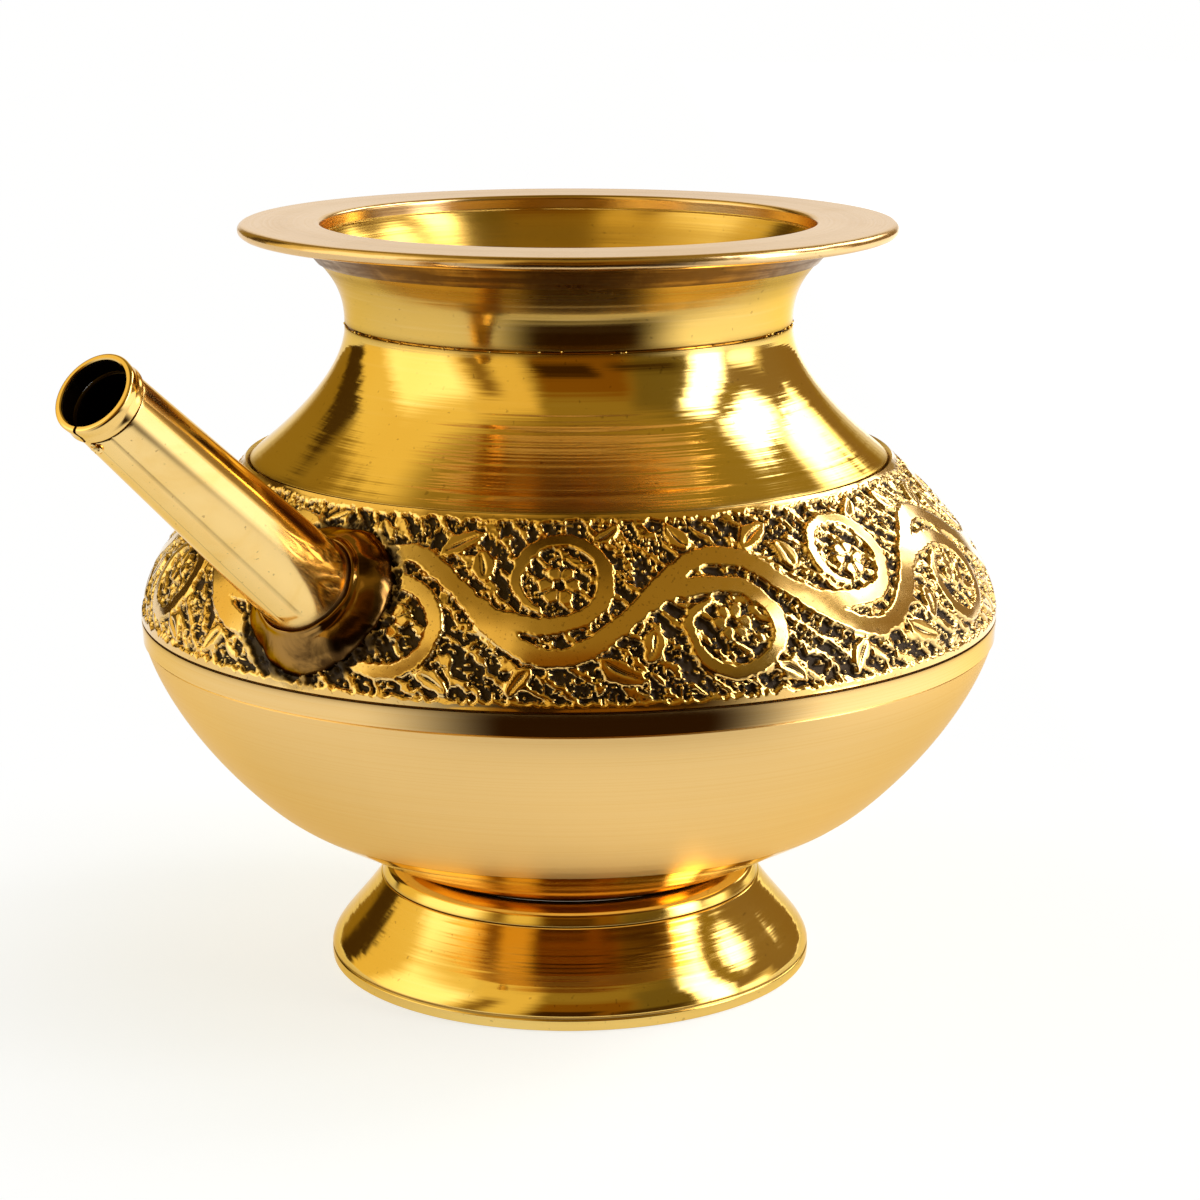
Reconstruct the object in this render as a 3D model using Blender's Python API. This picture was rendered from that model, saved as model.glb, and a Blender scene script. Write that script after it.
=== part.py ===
import bisect
import math

import bmesh
import bpy
from mathutils import Matrix, Vector

# All sizes are in millimetres and degrees
MM = 0.001

# Overall sizes
POT_HEIGHT = 88.9
BASE_RADIUS = 29.0
BELLY_RADIUS = 50.65
BELLY_HEIGHT = 43.5
NECK_RADIUS = 26.15
RIM_RADIUS = 38.3

# Clearance between pieces that meet, and the lap joints behind the seams
FIT = 0.3
LAP_HEIGHT = 3.0
LAP_WALL = 0.8

# Rim flange and the filler under it
RIM_THICKNESS = 1.5
THROAT_ROUND = 1.2
RIM_BRAZE_RADIUS = 33.4
RIM_BRAZE_DROP = 2.6
RIM_BRAZE_EDGE = 0.35
RIM_BRAZE_HOLLOW = 1.2

# Neck, with the rim above it
NECK_HEIGHT = 11.6
NECK_TOP_RADIUS = 31.5
NECK_FLARE_ANGLE = 48.0
NECK_LOWER_PULL = 4.9
NECK_UPPER_PULL = 4.3

# Shoulder, which takes up the height between the neck and the band. Its sweep is a share of that height.
SHOULDER_WALL = 1.3
SHOULDER_EDGE_RADIUS = 37.5
SHOULDER_SWEEP = 5 / 11
SHOULDER_EDGE_PULL = 1.0
SHOULDER_EDGE_ANGLE = 46.0

# Engraved band
BAND_HEIGHT = 18.1
BAND_PROUD = 0.45
BAND_UPPER_PULL = 3.0
BAND_BELLY_PULL = 7.2

# Relief on the band: plain borders, and a vine scroll on sunken ground, clear of the spout's collar
RELIEF_DEPTH = 0.65
RELIEF_ROOT = 0.5
TOP_BORDER = 0.9
LOW_BORDER = 1.1
COLLAR_MARGIN = 1.9
COLLAR_ROOM_WIDENING = 0.7
SCROLL_WAVES = 8
VINE_WIDTH = 2.4
TENDRIL_END_WIDTH = 1.0
LEAF_WIDTH = 2.6
ROSETTE_RADIUS = 2.2
ROSETTE_NOTCH = 0.6
ROSETTE_PETALS = 6

# Half a wave of the vine, crest up: shares of the half wave, and of half the ground's width from its middle
VINE_SWING = 0.54
ROSETTE_PLACE = (0.520, 0.252)
TENDRIL = (
    (0.319, -0.186), (0.519, -0.192), (0.682, -0.089), (0.785, 0.140), (0.797, 0.421), (0.702, 0.672),
    (0.532, 0.787), (0.363, 0.704), (0.265, 0.461), (0.272, 0.170), (0.412, -0.015),
)
LEAVES = (
    ((0.750, -0.571), (0.973, -0.895)),
    ((0.364, -0.668), (0.213, -0.928)),
    ((0.050, 0.291), (0.022, 0.636)),
    ((0.739, 0.765), (0.932, 0.921)),
)
LEAF_SHAPE = ((0.0, 0.25), (0.4, 1.0), (0.75, 0.7), (1.0, 0.1))

# Lower bowl
BOWL_WALL = 1.4
BOWL_BOTTOM_HEIGHT = 7.85
BOWL_BELLY_PULL = 8.7
BOWL_BOTTOM_PULL = 32.9

# Foot
FOOT_WALL = 1.6
FOOT_SEAT_RADIUS = 19.8
FOOT_BORE_RADIUS = 16.5
FOOT_LEDGE_HEIGHT = 8.2
ARRIS_RADIUS = 22.9
ARRIS_HEIGHT = 10.2
ARRIS_LIP = 0.7
FLARE_ANGLE = 57.0
FLARE_UPPER_PULL = 5.5
FLARE_LOWER_PULL = 2.0
BASE_EDGE_HEIGHT = 1.4
BASE_EDGE_ROUND = 0.4
BASE_FLAT = 2.4

# Spout, with its root above the belly
SPOUT_ROOT_RISE = 9.5
SPOUT_RISE_ANGLE = 39.0
SPOUT_LENGTH = 41.5
SPOUT_ROOT_RADIUS = 5.5
SPOUT_TIP_RADIUS = 4.15
SPOUT_WALL = 0.5
SPOUT_INSIDE = 0.8
LIP_OVERHANG = 0.3
LIP_STEP = 0.1
LIP_LENGTH = 2.2
LIP_ROUND = 0.2
LIP_GAP_ANGLE = 5.0
COLLAR_RADIUS = 9.2
COLLAR_HEIGHT = 2.3
COLLAR_EDGE_HEIGHT = 0.1
COLLAR_CROWN = 1.2
COLLAR_DEPTH = 5.0
HOLE_OVERRUN = 5.0

# Facets
BODY_SEGMENTS = 48
SPOUT_SEGMENTS = 32
CURVE_STEPS = 6
BOWL_STEPS = 9
LAP_STEPS = 2
VINE_STEPS = 6
LENGTH_STEPS = 200
ARC_STEPS = 4
SHARP_ANGLE = 30.0
MERGE_DISTANCE = 0.001


def heading(angle):
    return Vector((math.cos(math.radians(angle)), math.sin(math.radians(angle))))


class Outline:
    # A turned outline, (radius, height), as a cubic curve that runs down its outer side

    def __init__(self, start, start_handle, end_handle, end):
        self.corners = start, start + start_handle, end + end_handle, end
        skin = self.points(LENGTH_STEPS)
        self.walked = [0.0]
        for before, after in zip(skin, skin[1:]):
            self.walked.append(self.walked[-1] + (after - before).length)

    def on_skin(self, t):
        a, b, c, d = self.corners
        s = 1 - t
        return s**3 * a + 3 * s * s * t * b + 3 * s * t * t * c + t**3 * d

    def tangent(self, t):
        a, b, c, d = self.corners
        s = 1 - t
        return (s * s * (b - a) + 2 * s * t * (c - b) + t * t * (d - c)).normalized()

    def outward(self, t):
        along = self.tangent(t)
        return Vector((-along.y, along.x))

    def at(self, t, depth=0.0):
        return self.on_skin(t) - self.outward(t) * depth

    def points(self, steps, depth=0.0, first=0.0, last=1.0):
        return [self.at(first + (last - first) * k / steps, depth) for k in range(steps + 1)]

    def find(self, is_past):
        # The place along the curve where a test turns true
        low, high = 0.0, 1.0
        for _ in range(40):
            middle = (low + high) / 2
            if is_past(middle):
                high = middle
            else:
                low = middle
        return high

    def at_height(self, height, depth=0.0):
        return self.find(lambda t: self.at(t, depth).y <= height)

    def at_radius(self, radius, depth=0.0):
        return self.find(lambda t: self.at(t, depth).x <= radius)

    def at_length(self, length):
        # The place along the curve at a distance from its start
        k = bisect.bisect_left(self.walked, length, 1, LENGTH_STEPS)
        before, after = self.walked[k - 1 : k + 1]
        return (k - 1 + (length - before) / (after - before)) / LENGTH_STEPS


def arc(centre, radius, first, last):
    angles = [first + (last - first) * k / ARC_STEPS for k in range(ARC_STEPS + 1)]
    return [centre + heading(angle) * radius for angle in angles]


NECK_SEAM_HEIGHT = POT_HEIGHT - NECK_HEIGHT
SHOULDER_EDGE_HEIGHT = BELLY_HEIGHT + BAND_HEIGHT
SPOUT_ROOT_HEIGHT = BELLY_HEIGHT + SPOUT_ROOT_RISE
RIM_UNDERSIDE = POT_HEIGHT - RIM_THICKNESS
NECK_TOP = RIM_UNDERSIDE - FIT
SHOULDER_LAP = SHOULDER_WALL + FIT
BOWL_LAP = BOWL_WALL + FIT
NECK_WALL = SHOULDER_LAP + LAP_WALL
BAND_WALL = BAND_PROUD + NECK_WALL

NECK = Outline(
    Vector((NECK_TOP_RADIUS, NECK_TOP)),
    heading(180 + NECK_FLARE_ANGLE) * NECK_UPPER_PULL,
    heading(90) * NECK_LOWER_PULL,
    Vector((NECK_RADIUS, NECK_SEAM_HEIGHT)),
)
SHOULDER_TOP = NECK_SEAM_HEIGHT - FIT
SHOULDER_UPPER_PULL = (SHOULDER_TOP - SHOULDER_EDGE_HEIGHT) * SHOULDER_SWEEP
SHOULDER = Outline(
    Vector((NECK_RADIUS, SHOULDER_TOP)),
    heading(-90) * SHOULDER_UPPER_PULL,
    heading(180 - SHOULDER_EDGE_ANGLE) * SHOULDER_EDGE_PULL,
    Vector((SHOULDER_EDGE_RADIUS, SHOULDER_EDGE_HEIGHT)),
)
BAND = Outline(
    SHOULDER.at(1, -BAND_PROUD) + SHOULDER.tangent(1) * FIT,
    SHOULDER.tangent(1) * BAND_UPPER_PULL,
    heading(90) * BAND_BELLY_PULL,
    Vector((BELLY_RADIUS, BELLY_HEIGHT)),
)
BOWL = Outline(
    Vector((BELLY_RADIUS, BELLY_HEIGHT - FIT)),
    heading(-90) * BOWL_BELLY_PULL,
    heading(0) * BOWL_BOTTOM_PULL,
    Vector((0, BOWL_BOTTOM_HEIGHT)),
)
FLARE = Outline(
    Vector((ARRIS_RADIUS, ARRIS_HEIGHT)),
    heading(-FLARE_ANGLE) * FLARE_UPPER_PULL,
    heading(90) * FLARE_LOWER_PULL,
    Vector((BASE_RADIUS, BASE_EDGE_HEIGHT)),
)

BAND_LENGTH = BAND.walked[-1]
GROUND_HALF = (BAND_LENGTH - TOP_BORDER - LOW_BORDER) / 2
GROUND_MIDDLE = TOP_BORDER + GROUND_HALF
GROUND_TOP = BAND.at_length(TOP_BORDER)
GROUND_LOW = BAND.at_length(BAND_LENGTH - LOW_BORDER)
HALF_WAVE = math.pi / SCROLL_WAVES

NECK_INNER_TOP = NECK.at_height(NECK_TOP, NECK_WALL)
MOUTH_RADIUS = NECK.at(NECK_INNER_TOP, NECK_WALL).x
SPOUT_ROOT = BAND.at(BAND.at_height(SPOUT_ROOT_HEIGHT))
SPOUT_DEPTH = BAND_WALL + SPOUT_INSIDE
LIP_BORE = SPOUT_TIP_RADIUS - SPOUT_WALL + LIP_STEP
LIP_RADIUS = SPOUT_TIP_RADIUS + LIP_OVERHANG
SPOUT_RISE = heading(SPOUT_RISE_ANGLE)
SPOUT_REACH = SPOUT_ROOT.x + SPOUT_LENGTH * SPOUT_RISE.x + LIP_RADIUS * SPOUT_RISE.y
# The origin lies below the middle of the length from the back of the belly to the spout's tip
AXIS_SHIFT = (BELLY_RADIUS - SPOUT_REACH) / 2


def clear_scene():
    for thing in list(bpy.data.objects):
        bpy.data.objects.remove(thing, do_unlink=True)


def brass(name, colour, roughness):
    material = bpy.data.materials.new(name)
    material.use_nodes = True
    shader = material.node_tree.nodes["Principled BSDF"]
    shader.inputs["Base Color"].default_value = (*colour, 1.0)
    shader.inputs["Roughness"].default_value = roughness
    shader.inputs["Metallic"].default_value = 1.0
    return material


def place(thing, parent):
    thing.parent = parent
    bpy.context.collection.objects.link(thing)
    return thing


def turned(name, parent, outline, segments, on_axis=False, gap_angle=0.0):
    # An outline that starts and ends on the axis isn't closed there. A gap leaves the ring split.
    body = bmesh.new()
    corners = [body.verts.new((point.x * MM, 0, point.y * MM)) for point in outline]
    profile = [body.edges.new(pair) for pair in zip(corners, corners[1:])]
    if not on_axis:
        profile.append(body.edges.new((corners[-1], corners[0])))
    if gap_angle:
        profile.append(body.faces.new(corners))
    half_gap = Matrix.Rotation(math.radians(gap_angle / 2), 3, "Z")
    bmesh.ops.rotate(body, verts=corners, matrix=half_gap)
    bmesh.ops.spin(
        body,
        geom=corners + profile,
        axis=(0, 0, 1),
        angle=math.radians(360 - gap_angle),
        steps=segments,
        use_merge=not gap_angle,
    )
    bmesh.ops.remove_doubles(body, verts=body.verts, dist=MERGE_DISTANCE * MM)
    bmesh.ops.dissolve_degenerate(body, edges=body.edges, dist=MERGE_DISTANCE * MM)
    return meshed(name, parent, body)


def meshed(name, parent, body):
    bmesh.ops.recalc_face_normals(body, faces=body.faces)
    mesh = bpy.data.meshes.new(name)
    body.to_mesh(mesh)
    body.free()
    mesh.shade_smooth()
    mesh.set_sharp_from_angle(angle=math.radians(SHARP_ANGLE))
    return place(bpy.data.objects.new(name, mesh), parent)


def finish(piece, colour, roughness):
    piece.data.materials.append(brass(piece.name + "_brass", colour, roughness))


def combine(piece, tool, operation, tool_crosses_itself=False):
    tool.hide_render = True
    tool.display_type = "WIRE"
    step = piece.modifiers.new(tool.name, "BOOLEAN")
    step.operation = operation
    step.solver = "EXACT"
    step.use_self = tool_crosses_itself
    step.object = tool


def cut(piece, cutter):
    combine(piece, cutter, "DIFFERENCE")


def band_skin(growth):
    # The band's outer side, with its borders and sunken ground, moved outwards
    ground = BAND.points(CURVE_STEPS, RELIEF_DEPTH - growth, GROUND_TOP, GROUND_LOW)
    top_border = [BAND.at(0, -growth), BAND.at(GROUND_TOP, -growth)]
    low_border = [BAND.at(GROUND_LOW, -growth), BAND.at(1, -growth)]
    return top_border + ground + low_border


def drawn(place, half_wave):
    # The angle round the pot and the distance below the band's top edge of a place in a half wave
    flip = -1 if half_wave % 2 else 1
    return Vector(((half_wave + place[0]) * HALF_WAVE, GROUND_MIDDLE + flip * place[1] * GROUND_HALF))


def add_prism(body, places):
    # Stands from below the ground up to the band's skin
    rings = []
    for depth in (0.0, RELIEF_DEPTH + RELIEF_ROOT):
        corners = []
        for angle, down in places:
            point = BAND.at(BAND.at_length(down), depth)
            corner = Vector((point.x * math.cos(angle), point.x * math.sin(angle), point.y))
            corners.append(body.verts.new(corner * MM))
        rings.append(corners)
    return rings


def add_walls(body, upper, lower):
    for k, corner in enumerate(upper):
        body.faces.new((upper[k - 1], corner, lower[k], lower[k - 1]))


def add_strip(body, path, widths, closed=False):
    # A raised stroke of changing width, or a closed one round the pot
    left, right = [], []
    count = len(path)
    for k, place in enumerate(path):
        before = path[k - 1] if closed or k else place
        after = path[(k + 1) % count] if closed or k < count - 1 else place
        radius = BAND.on_skin(BAND.at_length(place.y)).x
        turn = (after.x - before.x + math.pi) % (2 * math.pi) - math.pi
        side = Vector((before.y - after.y, turn * radius)).normalized() * widths[k] / 2
        offset = Vector((side.x / radius, side.y))
        left.append(place + offset)
        right.append(place - offset)
    if closed:
        upper_left, lower_left = add_prism(body, left)
        upper_right, lower_right = add_prism(body, right)
        add_walls(body, upper_left, lower_left)
        add_walls(body, lower_right, upper_right)
        add_walls(body, lower_left, lower_right)
        add_walls(body, upper_right, upper_left)
    else:
        upper, lower = add_prism(body, left + right[::-1])
        add_walls(body, upper, lower)
        for ring in (upper, lower):
            for k in range(count - 1):
                body.faces.new((ring[k], ring[k + 1], ring[2 * count - 2 - k], ring[2 * count - 1 - k]))


def add_rosette(body, half_wave):
    centre = drawn(ROSETTE_PLACE, half_wave)
    radius = BAND.on_skin(BAND.at_length(centre.y)).x
    places = []
    for k in range(2 * ROSETTE_PETALS):
        reach = heading(180 * k / ROSETTE_PETALS) * (ROSETTE_RADIUS - (k % 2) * ROSETTE_NOTCH)
        places.append(centre + Vector((reach.x / radius, reach.y)))
    upper, lower = add_prism(body, places)
    add_walls(body, upper, lower)
    body.faces.new(upper)
    body.faces.new(lower)


def make_vine(pot):
    body = bmesh.new()
    half_waves = range(2 * SCROLL_WAVES)
    steps = [k / VINE_STEPS for k in range(VINE_STEPS)]
    stem = [drawn((u, -VINE_SWING * math.sin(math.pi * u)), n) for n in half_waves for u in steps]
    add_strip(body, stem, [VINE_WIDTH] * len(stem), closed=True)
    taper = (VINE_WIDTH - TENDRIL_END_WIDTH) / (len(TENDRIL) - 1)
    for n in half_waves:
        tendril = [drawn(place, n) for place in TENDRIL]
        add_strip(body, tendril, [VINE_WIDTH - taper * k for k in range(len(TENDRIL))])
        for start, end in LEAVES:
            root, tip = drawn(start, n), drawn(end, n)
            spine = [root.lerp(tip, share) for share, _ in LEAF_SHAPE]
            add_strip(body, spine, [LEAF_WIDTH * width for _, width in LEAF_SHAPE])
        add_rosette(body, n)
    return meshed("vine", pot, body)


def make_rim_flange(pot):
    edge_radius = RIM_THICKNESS / 2
    edge = arc(Vector((RIM_RADIUS - edge_radius, POT_HEIGHT - edge_radius)), edge_radius, 90, -90)
    throat_centre = Vector((MOUTH_RADIUS + THROAT_ROUND, POT_HEIGHT - THROAT_ROUND))
    throat = arc(throat_centre, THROAT_ROUND, 180, 90)
    outline = edge + [Vector((MOUTH_RADIUS, RIM_UNDERSIDE))] + throat
    flange = turned("rim_flange", pot, outline, BODY_SEGMENTS)
    finish(flange, (0.82, 0.60, 0.30), 0.30)


def make_rim_braze(pot):
    low = NECK.at_height(NECK_TOP - RIM_BRAZE_DROP)
    high = NECK.at_height(NECK_TOP, -FIT)
    tip = NECK.at(low, -FIT - RIM_BRAZE_EDGE)
    top = Vector((RIM_BRAZE_RADIUS, NECK_TOP))
    face = Outline(top, heading(180) * RIM_BRAZE_HOLLOW, -NECK.tangent(low) * RIM_BRAZE_HOLLOW, tip)
    seat = NECK.points(LAP_STEPS, -FIT, high, low)
    fillet = turned("rim_braze", pot, face.points(ARC_STEPS) + seat[::-1], BODY_SEGMENTS)
    finish(fillet, (0.30, 0.17, 0.05), 0.50)


def make_neck(pot):
    lap_end = SHOULDER.at_height(NECK_SEAM_HEIGHT - LAP_HEIGHT)
    outer = NECK.points(CURVE_STEPS)
    seat = [NECK.at(1, SHOULDER_LAP)]
    lip_outer = SHOULDER.points(LAP_STEPS, SHOULDER_LAP, 0, lap_end)
    lip_inner = SHOULDER.points(LAP_STEPS, NECK_WALL, 0, lap_end)
    inner = NECK.points(CURVE_STEPS, NECK_WALL, NECK_INNER_TOP, 1)
    neck = turned("neck", pot, outer + seat + lip_outer + lip_inner[::-1] + inner[::-1], BODY_SEGMENTS)
    finish(neck, (0.78, 0.50, 0.16), 0.28)


def make_shoulder(pot):
    outline = SHOULDER.points(CURVE_STEPS) + SHOULDER.points(CURVE_STEPS, SHOULDER_WALL)[::-1]
    finish(turned("shoulder", pot, outline, BODY_SEGMENTS), (0.82, 0.55, 0.18), 0.20)


def make_engraved_band(pot, spout_hole, collar_room):
    upper_lap = SHOULDER.at_height(SHOULDER_EDGE_HEIGHT + LAP_HEIGHT)
    lower_lap = BOWL.at_height(BELLY_HEIGHT - LAP_HEIGHT)
    outer = band_skin(0)
    lower_seat = [BAND.at(1, BOWL_LAP)]
    lower_lip = BOWL.points(LAP_STEPS, BOWL_LAP, 0, lower_lap)
    lower_lip += BOWL.points(LAP_STEPS, BOWL_LAP + LAP_WALL, 0, lower_lap)[::-1]
    inner = BAND.points(CURVE_STEPS, BAND_WALL)[::-1]
    upper_lip = SHOULDER.points(LAP_STEPS, NECK_WALL, upper_lap, 1)[::-1]
    upper_lip += SHOULDER.points(LAP_STEPS, SHOULDER_LAP, upper_lap, 1)
    upper_seat = [BAND.at(0, BAND_PROUD + SHOULDER_LAP)]
    outline = outer + lower_seat + lower_lip + inner + upper_lip + upper_seat
    band = turned("engraved_band", pot, outline, BODY_SEGMENTS)
    vine = make_vine(pot)
    cut(vine, collar_room)
    combine(band, vine, "UNION", tool_crosses_itself=True)
    cut(band, spout_hole)
    finish(band, (0.42, 0.27, 0.09), 0.42)


def make_lower_bowl(pot):
    outline = BOWL.points(BOWL_STEPS, BOWL_WALL)[::-1] + BOWL.points(BOWL_STEPS)
    finish(turned("lower_bowl", pot, outline, BODY_SEGMENTS, on_axis=True), (0.84, 0.57, 0.24), 0.36)


def make_foot_ring(pot):
    bottom = FOOT_LEDGE_HEIGHT + FIT
    radius = ARRIS_RADIUS - ARRIS_LIP - FIT
    seat_ends = BOWL.at_radius(FOOT_SEAT_RADIUS, -FIT), BOWL.at_radius(FOOT_BORE_RADIUS, -FIT)
    seat = BOWL.points(LAP_STEPS, -FIT, *seat_ends)
    edge = [Vector((FOOT_BORE_RADIUS, bottom)), Vector((radius, bottom)), Vector((radius, ARRIS_HEIGHT))]
    finish(turned("foot_ring", pot, seat + edge, BODY_SEGMENTS), (0.80, 0.53, 0.18), 0.24)


def make_foot_flare(pot):
    underside = FOOT_LEDGE_HEIGHT - FOOT_WALL
    base_edge = arc(Vector((BASE_RADIUS - BASE_EDGE_ROUND, BASE_EDGE_ROUND)), BASE_EDGE_ROUND, 0, -90)
    base_edge.append(Vector((BASE_RADIUS - BASE_FLAT, 0)))
    inner = FLARE.points(ARC_STEPS, FOOT_WALL, FLARE.at_height(underside, FOOT_WALL), 1)[::-1]
    rebate_radius = ARRIS_RADIUS - ARRIS_LIP
    ledge = [
        Vector((FOOT_BORE_RADIUS, underside)),
        Vector((FOOT_BORE_RADIUS, FOOT_LEDGE_HEIGHT)),
        Vector((rebate_radius, FOOT_LEDGE_HEIGHT)),
        Vector((rebate_radius, ARRIS_HEIGHT)),
    ]
    flare = turned("foot_flare", pot, FLARE.points(CURVE_STEPS) + base_edge + inner + ledge, BODY_SEGMENTS)
    finish(flare, (0.82, 0.54, 0.17), 0.18)


def make_cutter(name, spout, radius, widening=0.0):
    # Goes through the band's wall alone, with a clearance all round, and may widen outwards
    inside = -SPOUT_DEPTH - HOLE_OVERRUN
    lower_end = [Vector((0, inside)), Vector((radius + FIT + inside * widening, inside))]
    upper_end = [Vector((radius + FIT + HOLE_OVERRUN * widening, HOLE_OVERRUN)), Vector((0, HOLE_OVERRUN))]
    return turned(name, spout, lower_end + upper_end, SPOUT_SEGMENTS, on_axis=True)


def make_spout_tube(spout):
    # Tapered outside the pot, and straight where it goes through the wall
    tip = SPOUT_LENGTH - LIP_LENGTH - FIT
    outer = [
        Vector((SPOUT_TIP_RADIUS, tip)),
        Vector((SPOUT_ROOT_RADIUS, 0)),
        Vector((SPOUT_ROOT_RADIUS, -SPOUT_DEPTH)),
    ]
    outline = outer + [point - Vector((SPOUT_WALL, 0)) for point in outer[::-1]]
    finish(turned("spout_tube", spout, outline, SPOUT_SEGMENTS), (0.88, 0.64, 0.26), 0.14)


def make_spout_lip(spout):
    round_radius = LIP_RADIUS - LIP_ROUND
    bottom = SPOUT_LENGTH - LIP_LENGTH
    upper_edge = arc(Vector((round_radius, SPOUT_LENGTH - LIP_ROUND)), LIP_ROUND, 90, 0)
    lower_edge = arc(Vector((round_radius, bottom + LIP_ROUND)), LIP_ROUND, 0, -90)
    bore = [Vector((LIP_BORE, bottom)), Vector((LIP_BORE, SPOUT_LENGTH))]
    outline = upper_edge + lower_edge + bore
    ring = turned("spout_lip", spout, outline, SPOUT_SEGMENTS, gap_angle=LIP_GAP_ANGLE)
    finish(ring, (0.86, 0.58, 0.20), 0.16)


def make_spout_collar(spout, body_space):
    bore = SPOUT_ROOT_RADIUS + FIT
    top = Vector((bore, COLLAR_HEIGHT))
    edge = Vector((COLLAR_RADIUS, COLLAR_EDGE_HEIGHT))
    crown = Outline(top, heading(0) * COLLAR_CROWN, heading(90) * COLLAR_CROWN, edge)
    buried = [Vector((COLLAR_RADIUS, -COLLAR_DEPTH)), Vector((bore, -COLLAR_DEPTH))]
    outline = crown.points(ARC_STEPS) + buried
    collar = turned("spout_collar", spout, outline, SPOUT_SEGMENTS)
    cut(collar, body_space)
    finish(collar, (0.36, 0.22, 0.07), 0.48)


def make_body_space(pot):
    # The room that the band and the bowl take up, with the collar's clearance
    skin = band_skin(FIT) + BOWL.points(BOWL_STEPS, -FIT)
    return turned("body_space", pot, [Vector((0, skin[0].y))] + skin, BODY_SEGMENTS, on_axis=True)


def build():
    clear_scene()
    pot = place(bpy.data.objects.new("pot", None), None)
    pot.location.x = AXIS_SHIFT * MM
    spout = place(bpy.data.objects.new("spout", None), pot)
    spout.location = (SPOUT_ROOT.x * MM, 0, SPOUT_ROOT.y * MM)
    spout.rotation_euler.y = math.radians(90 - SPOUT_RISE_ANGLE)
    make_rim_flange(pot)
    make_rim_braze(pot)
    make_neck(pot)
    make_shoulder(pot)
    spout_hole = make_cutter("spout_hole", spout, SPOUT_ROOT_RADIUS)
    collar_room = make_cutter("collar_room", spout, COLLAR_RADIUS + COLLAR_MARGIN, COLLAR_ROOM_WIDENING)
    make_engraved_band(pot, spout_hole, collar_room)
    make_lower_bowl(pot)
    make_foot_ring(pot)
    make_foot_flare(pot)
    make_spout_tube(spout)
    make_spout_lip(spout)
    make_spout_collar(spout, make_body_space(pot))


build()
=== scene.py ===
import math

import bpy
import numpy as np
from mathutils import Matrix, Vector


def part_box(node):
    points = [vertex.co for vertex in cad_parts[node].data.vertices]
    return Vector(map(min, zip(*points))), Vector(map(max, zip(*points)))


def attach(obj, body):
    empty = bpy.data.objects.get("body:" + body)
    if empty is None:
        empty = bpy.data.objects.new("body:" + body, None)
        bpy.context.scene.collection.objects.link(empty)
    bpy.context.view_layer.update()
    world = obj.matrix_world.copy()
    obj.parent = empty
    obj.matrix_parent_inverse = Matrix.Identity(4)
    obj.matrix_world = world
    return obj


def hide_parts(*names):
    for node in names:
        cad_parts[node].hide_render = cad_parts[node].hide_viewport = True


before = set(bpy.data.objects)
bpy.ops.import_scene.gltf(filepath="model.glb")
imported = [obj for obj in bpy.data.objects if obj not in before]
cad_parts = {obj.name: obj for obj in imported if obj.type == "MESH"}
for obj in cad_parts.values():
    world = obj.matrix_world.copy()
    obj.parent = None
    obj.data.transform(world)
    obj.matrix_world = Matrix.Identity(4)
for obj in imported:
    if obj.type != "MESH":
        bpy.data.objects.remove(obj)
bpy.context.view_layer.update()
print("frame loaded")

# Sizes are in millimetres until a mesh is made
mm = 0.001
bowlLow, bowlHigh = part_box("lower_bowl")
axisX = (bowlLow[0] + bowlHigh[0]) / 2
cameraTurn = 35.5                  # angle from the spout to the camera, about the pot's axis
gap = 0.3                          # seam between two pieces
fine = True
segments = 320 if fine else 128    # round each turned piece


def heading(angle):
    return np.array([math.cos(math.radians(angle)), math.sin(math.radians(angle))])


def curve(start, startPull, endPull, end, steps=64):
    t = np.linspace(0, 1, steps + 1)[:, None]
    a, d = np.array(start, float), np.array(end, float)
    b, c = a + startPull, d + endPull
    return (1 - t) ** 3 * a + 3 * (1 - t) ** 2 * t * b + 3 * (1 - t) * t * t * c + t**3 * d


def outward(points):
    along = np.gradient(points, axis=0)
    along /= np.linalg.norm(along, axis=1)[:, None]
    return np.stack([-along[:, 1], along[:, 0]], 1)


def inset(points, depth):
    return points - outward(points) * depth


def arc(centre, radius, first, last, steps=10):
    return np.array([np.array(centre) + heading(a) * radius for a in np.linspace(first, last, steps + 1)])


def lengths(points):
    return np.concatenate([[0], np.cumsum(np.linalg.norm(np.diff(points, axis=0), axis=1))])


def respace(points, step):
    far = lengths(points)
    at = np.linspace(0, far[-1], max(2, int(round(far[-1] / step)) + 1))
    return np.stack([np.interp(at, far, points[:, k]) for k in (0, 1)], 1)


def below(points, height):
    return points[points[:, 1] <= height]


def above(points, height):
    return points[points[:, 1] >= height]


def smooth(low, high, value):
    t = np.clip((value - low) / (high - low), 0, 1)
    return t * t * (3 - 2 * t)


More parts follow.
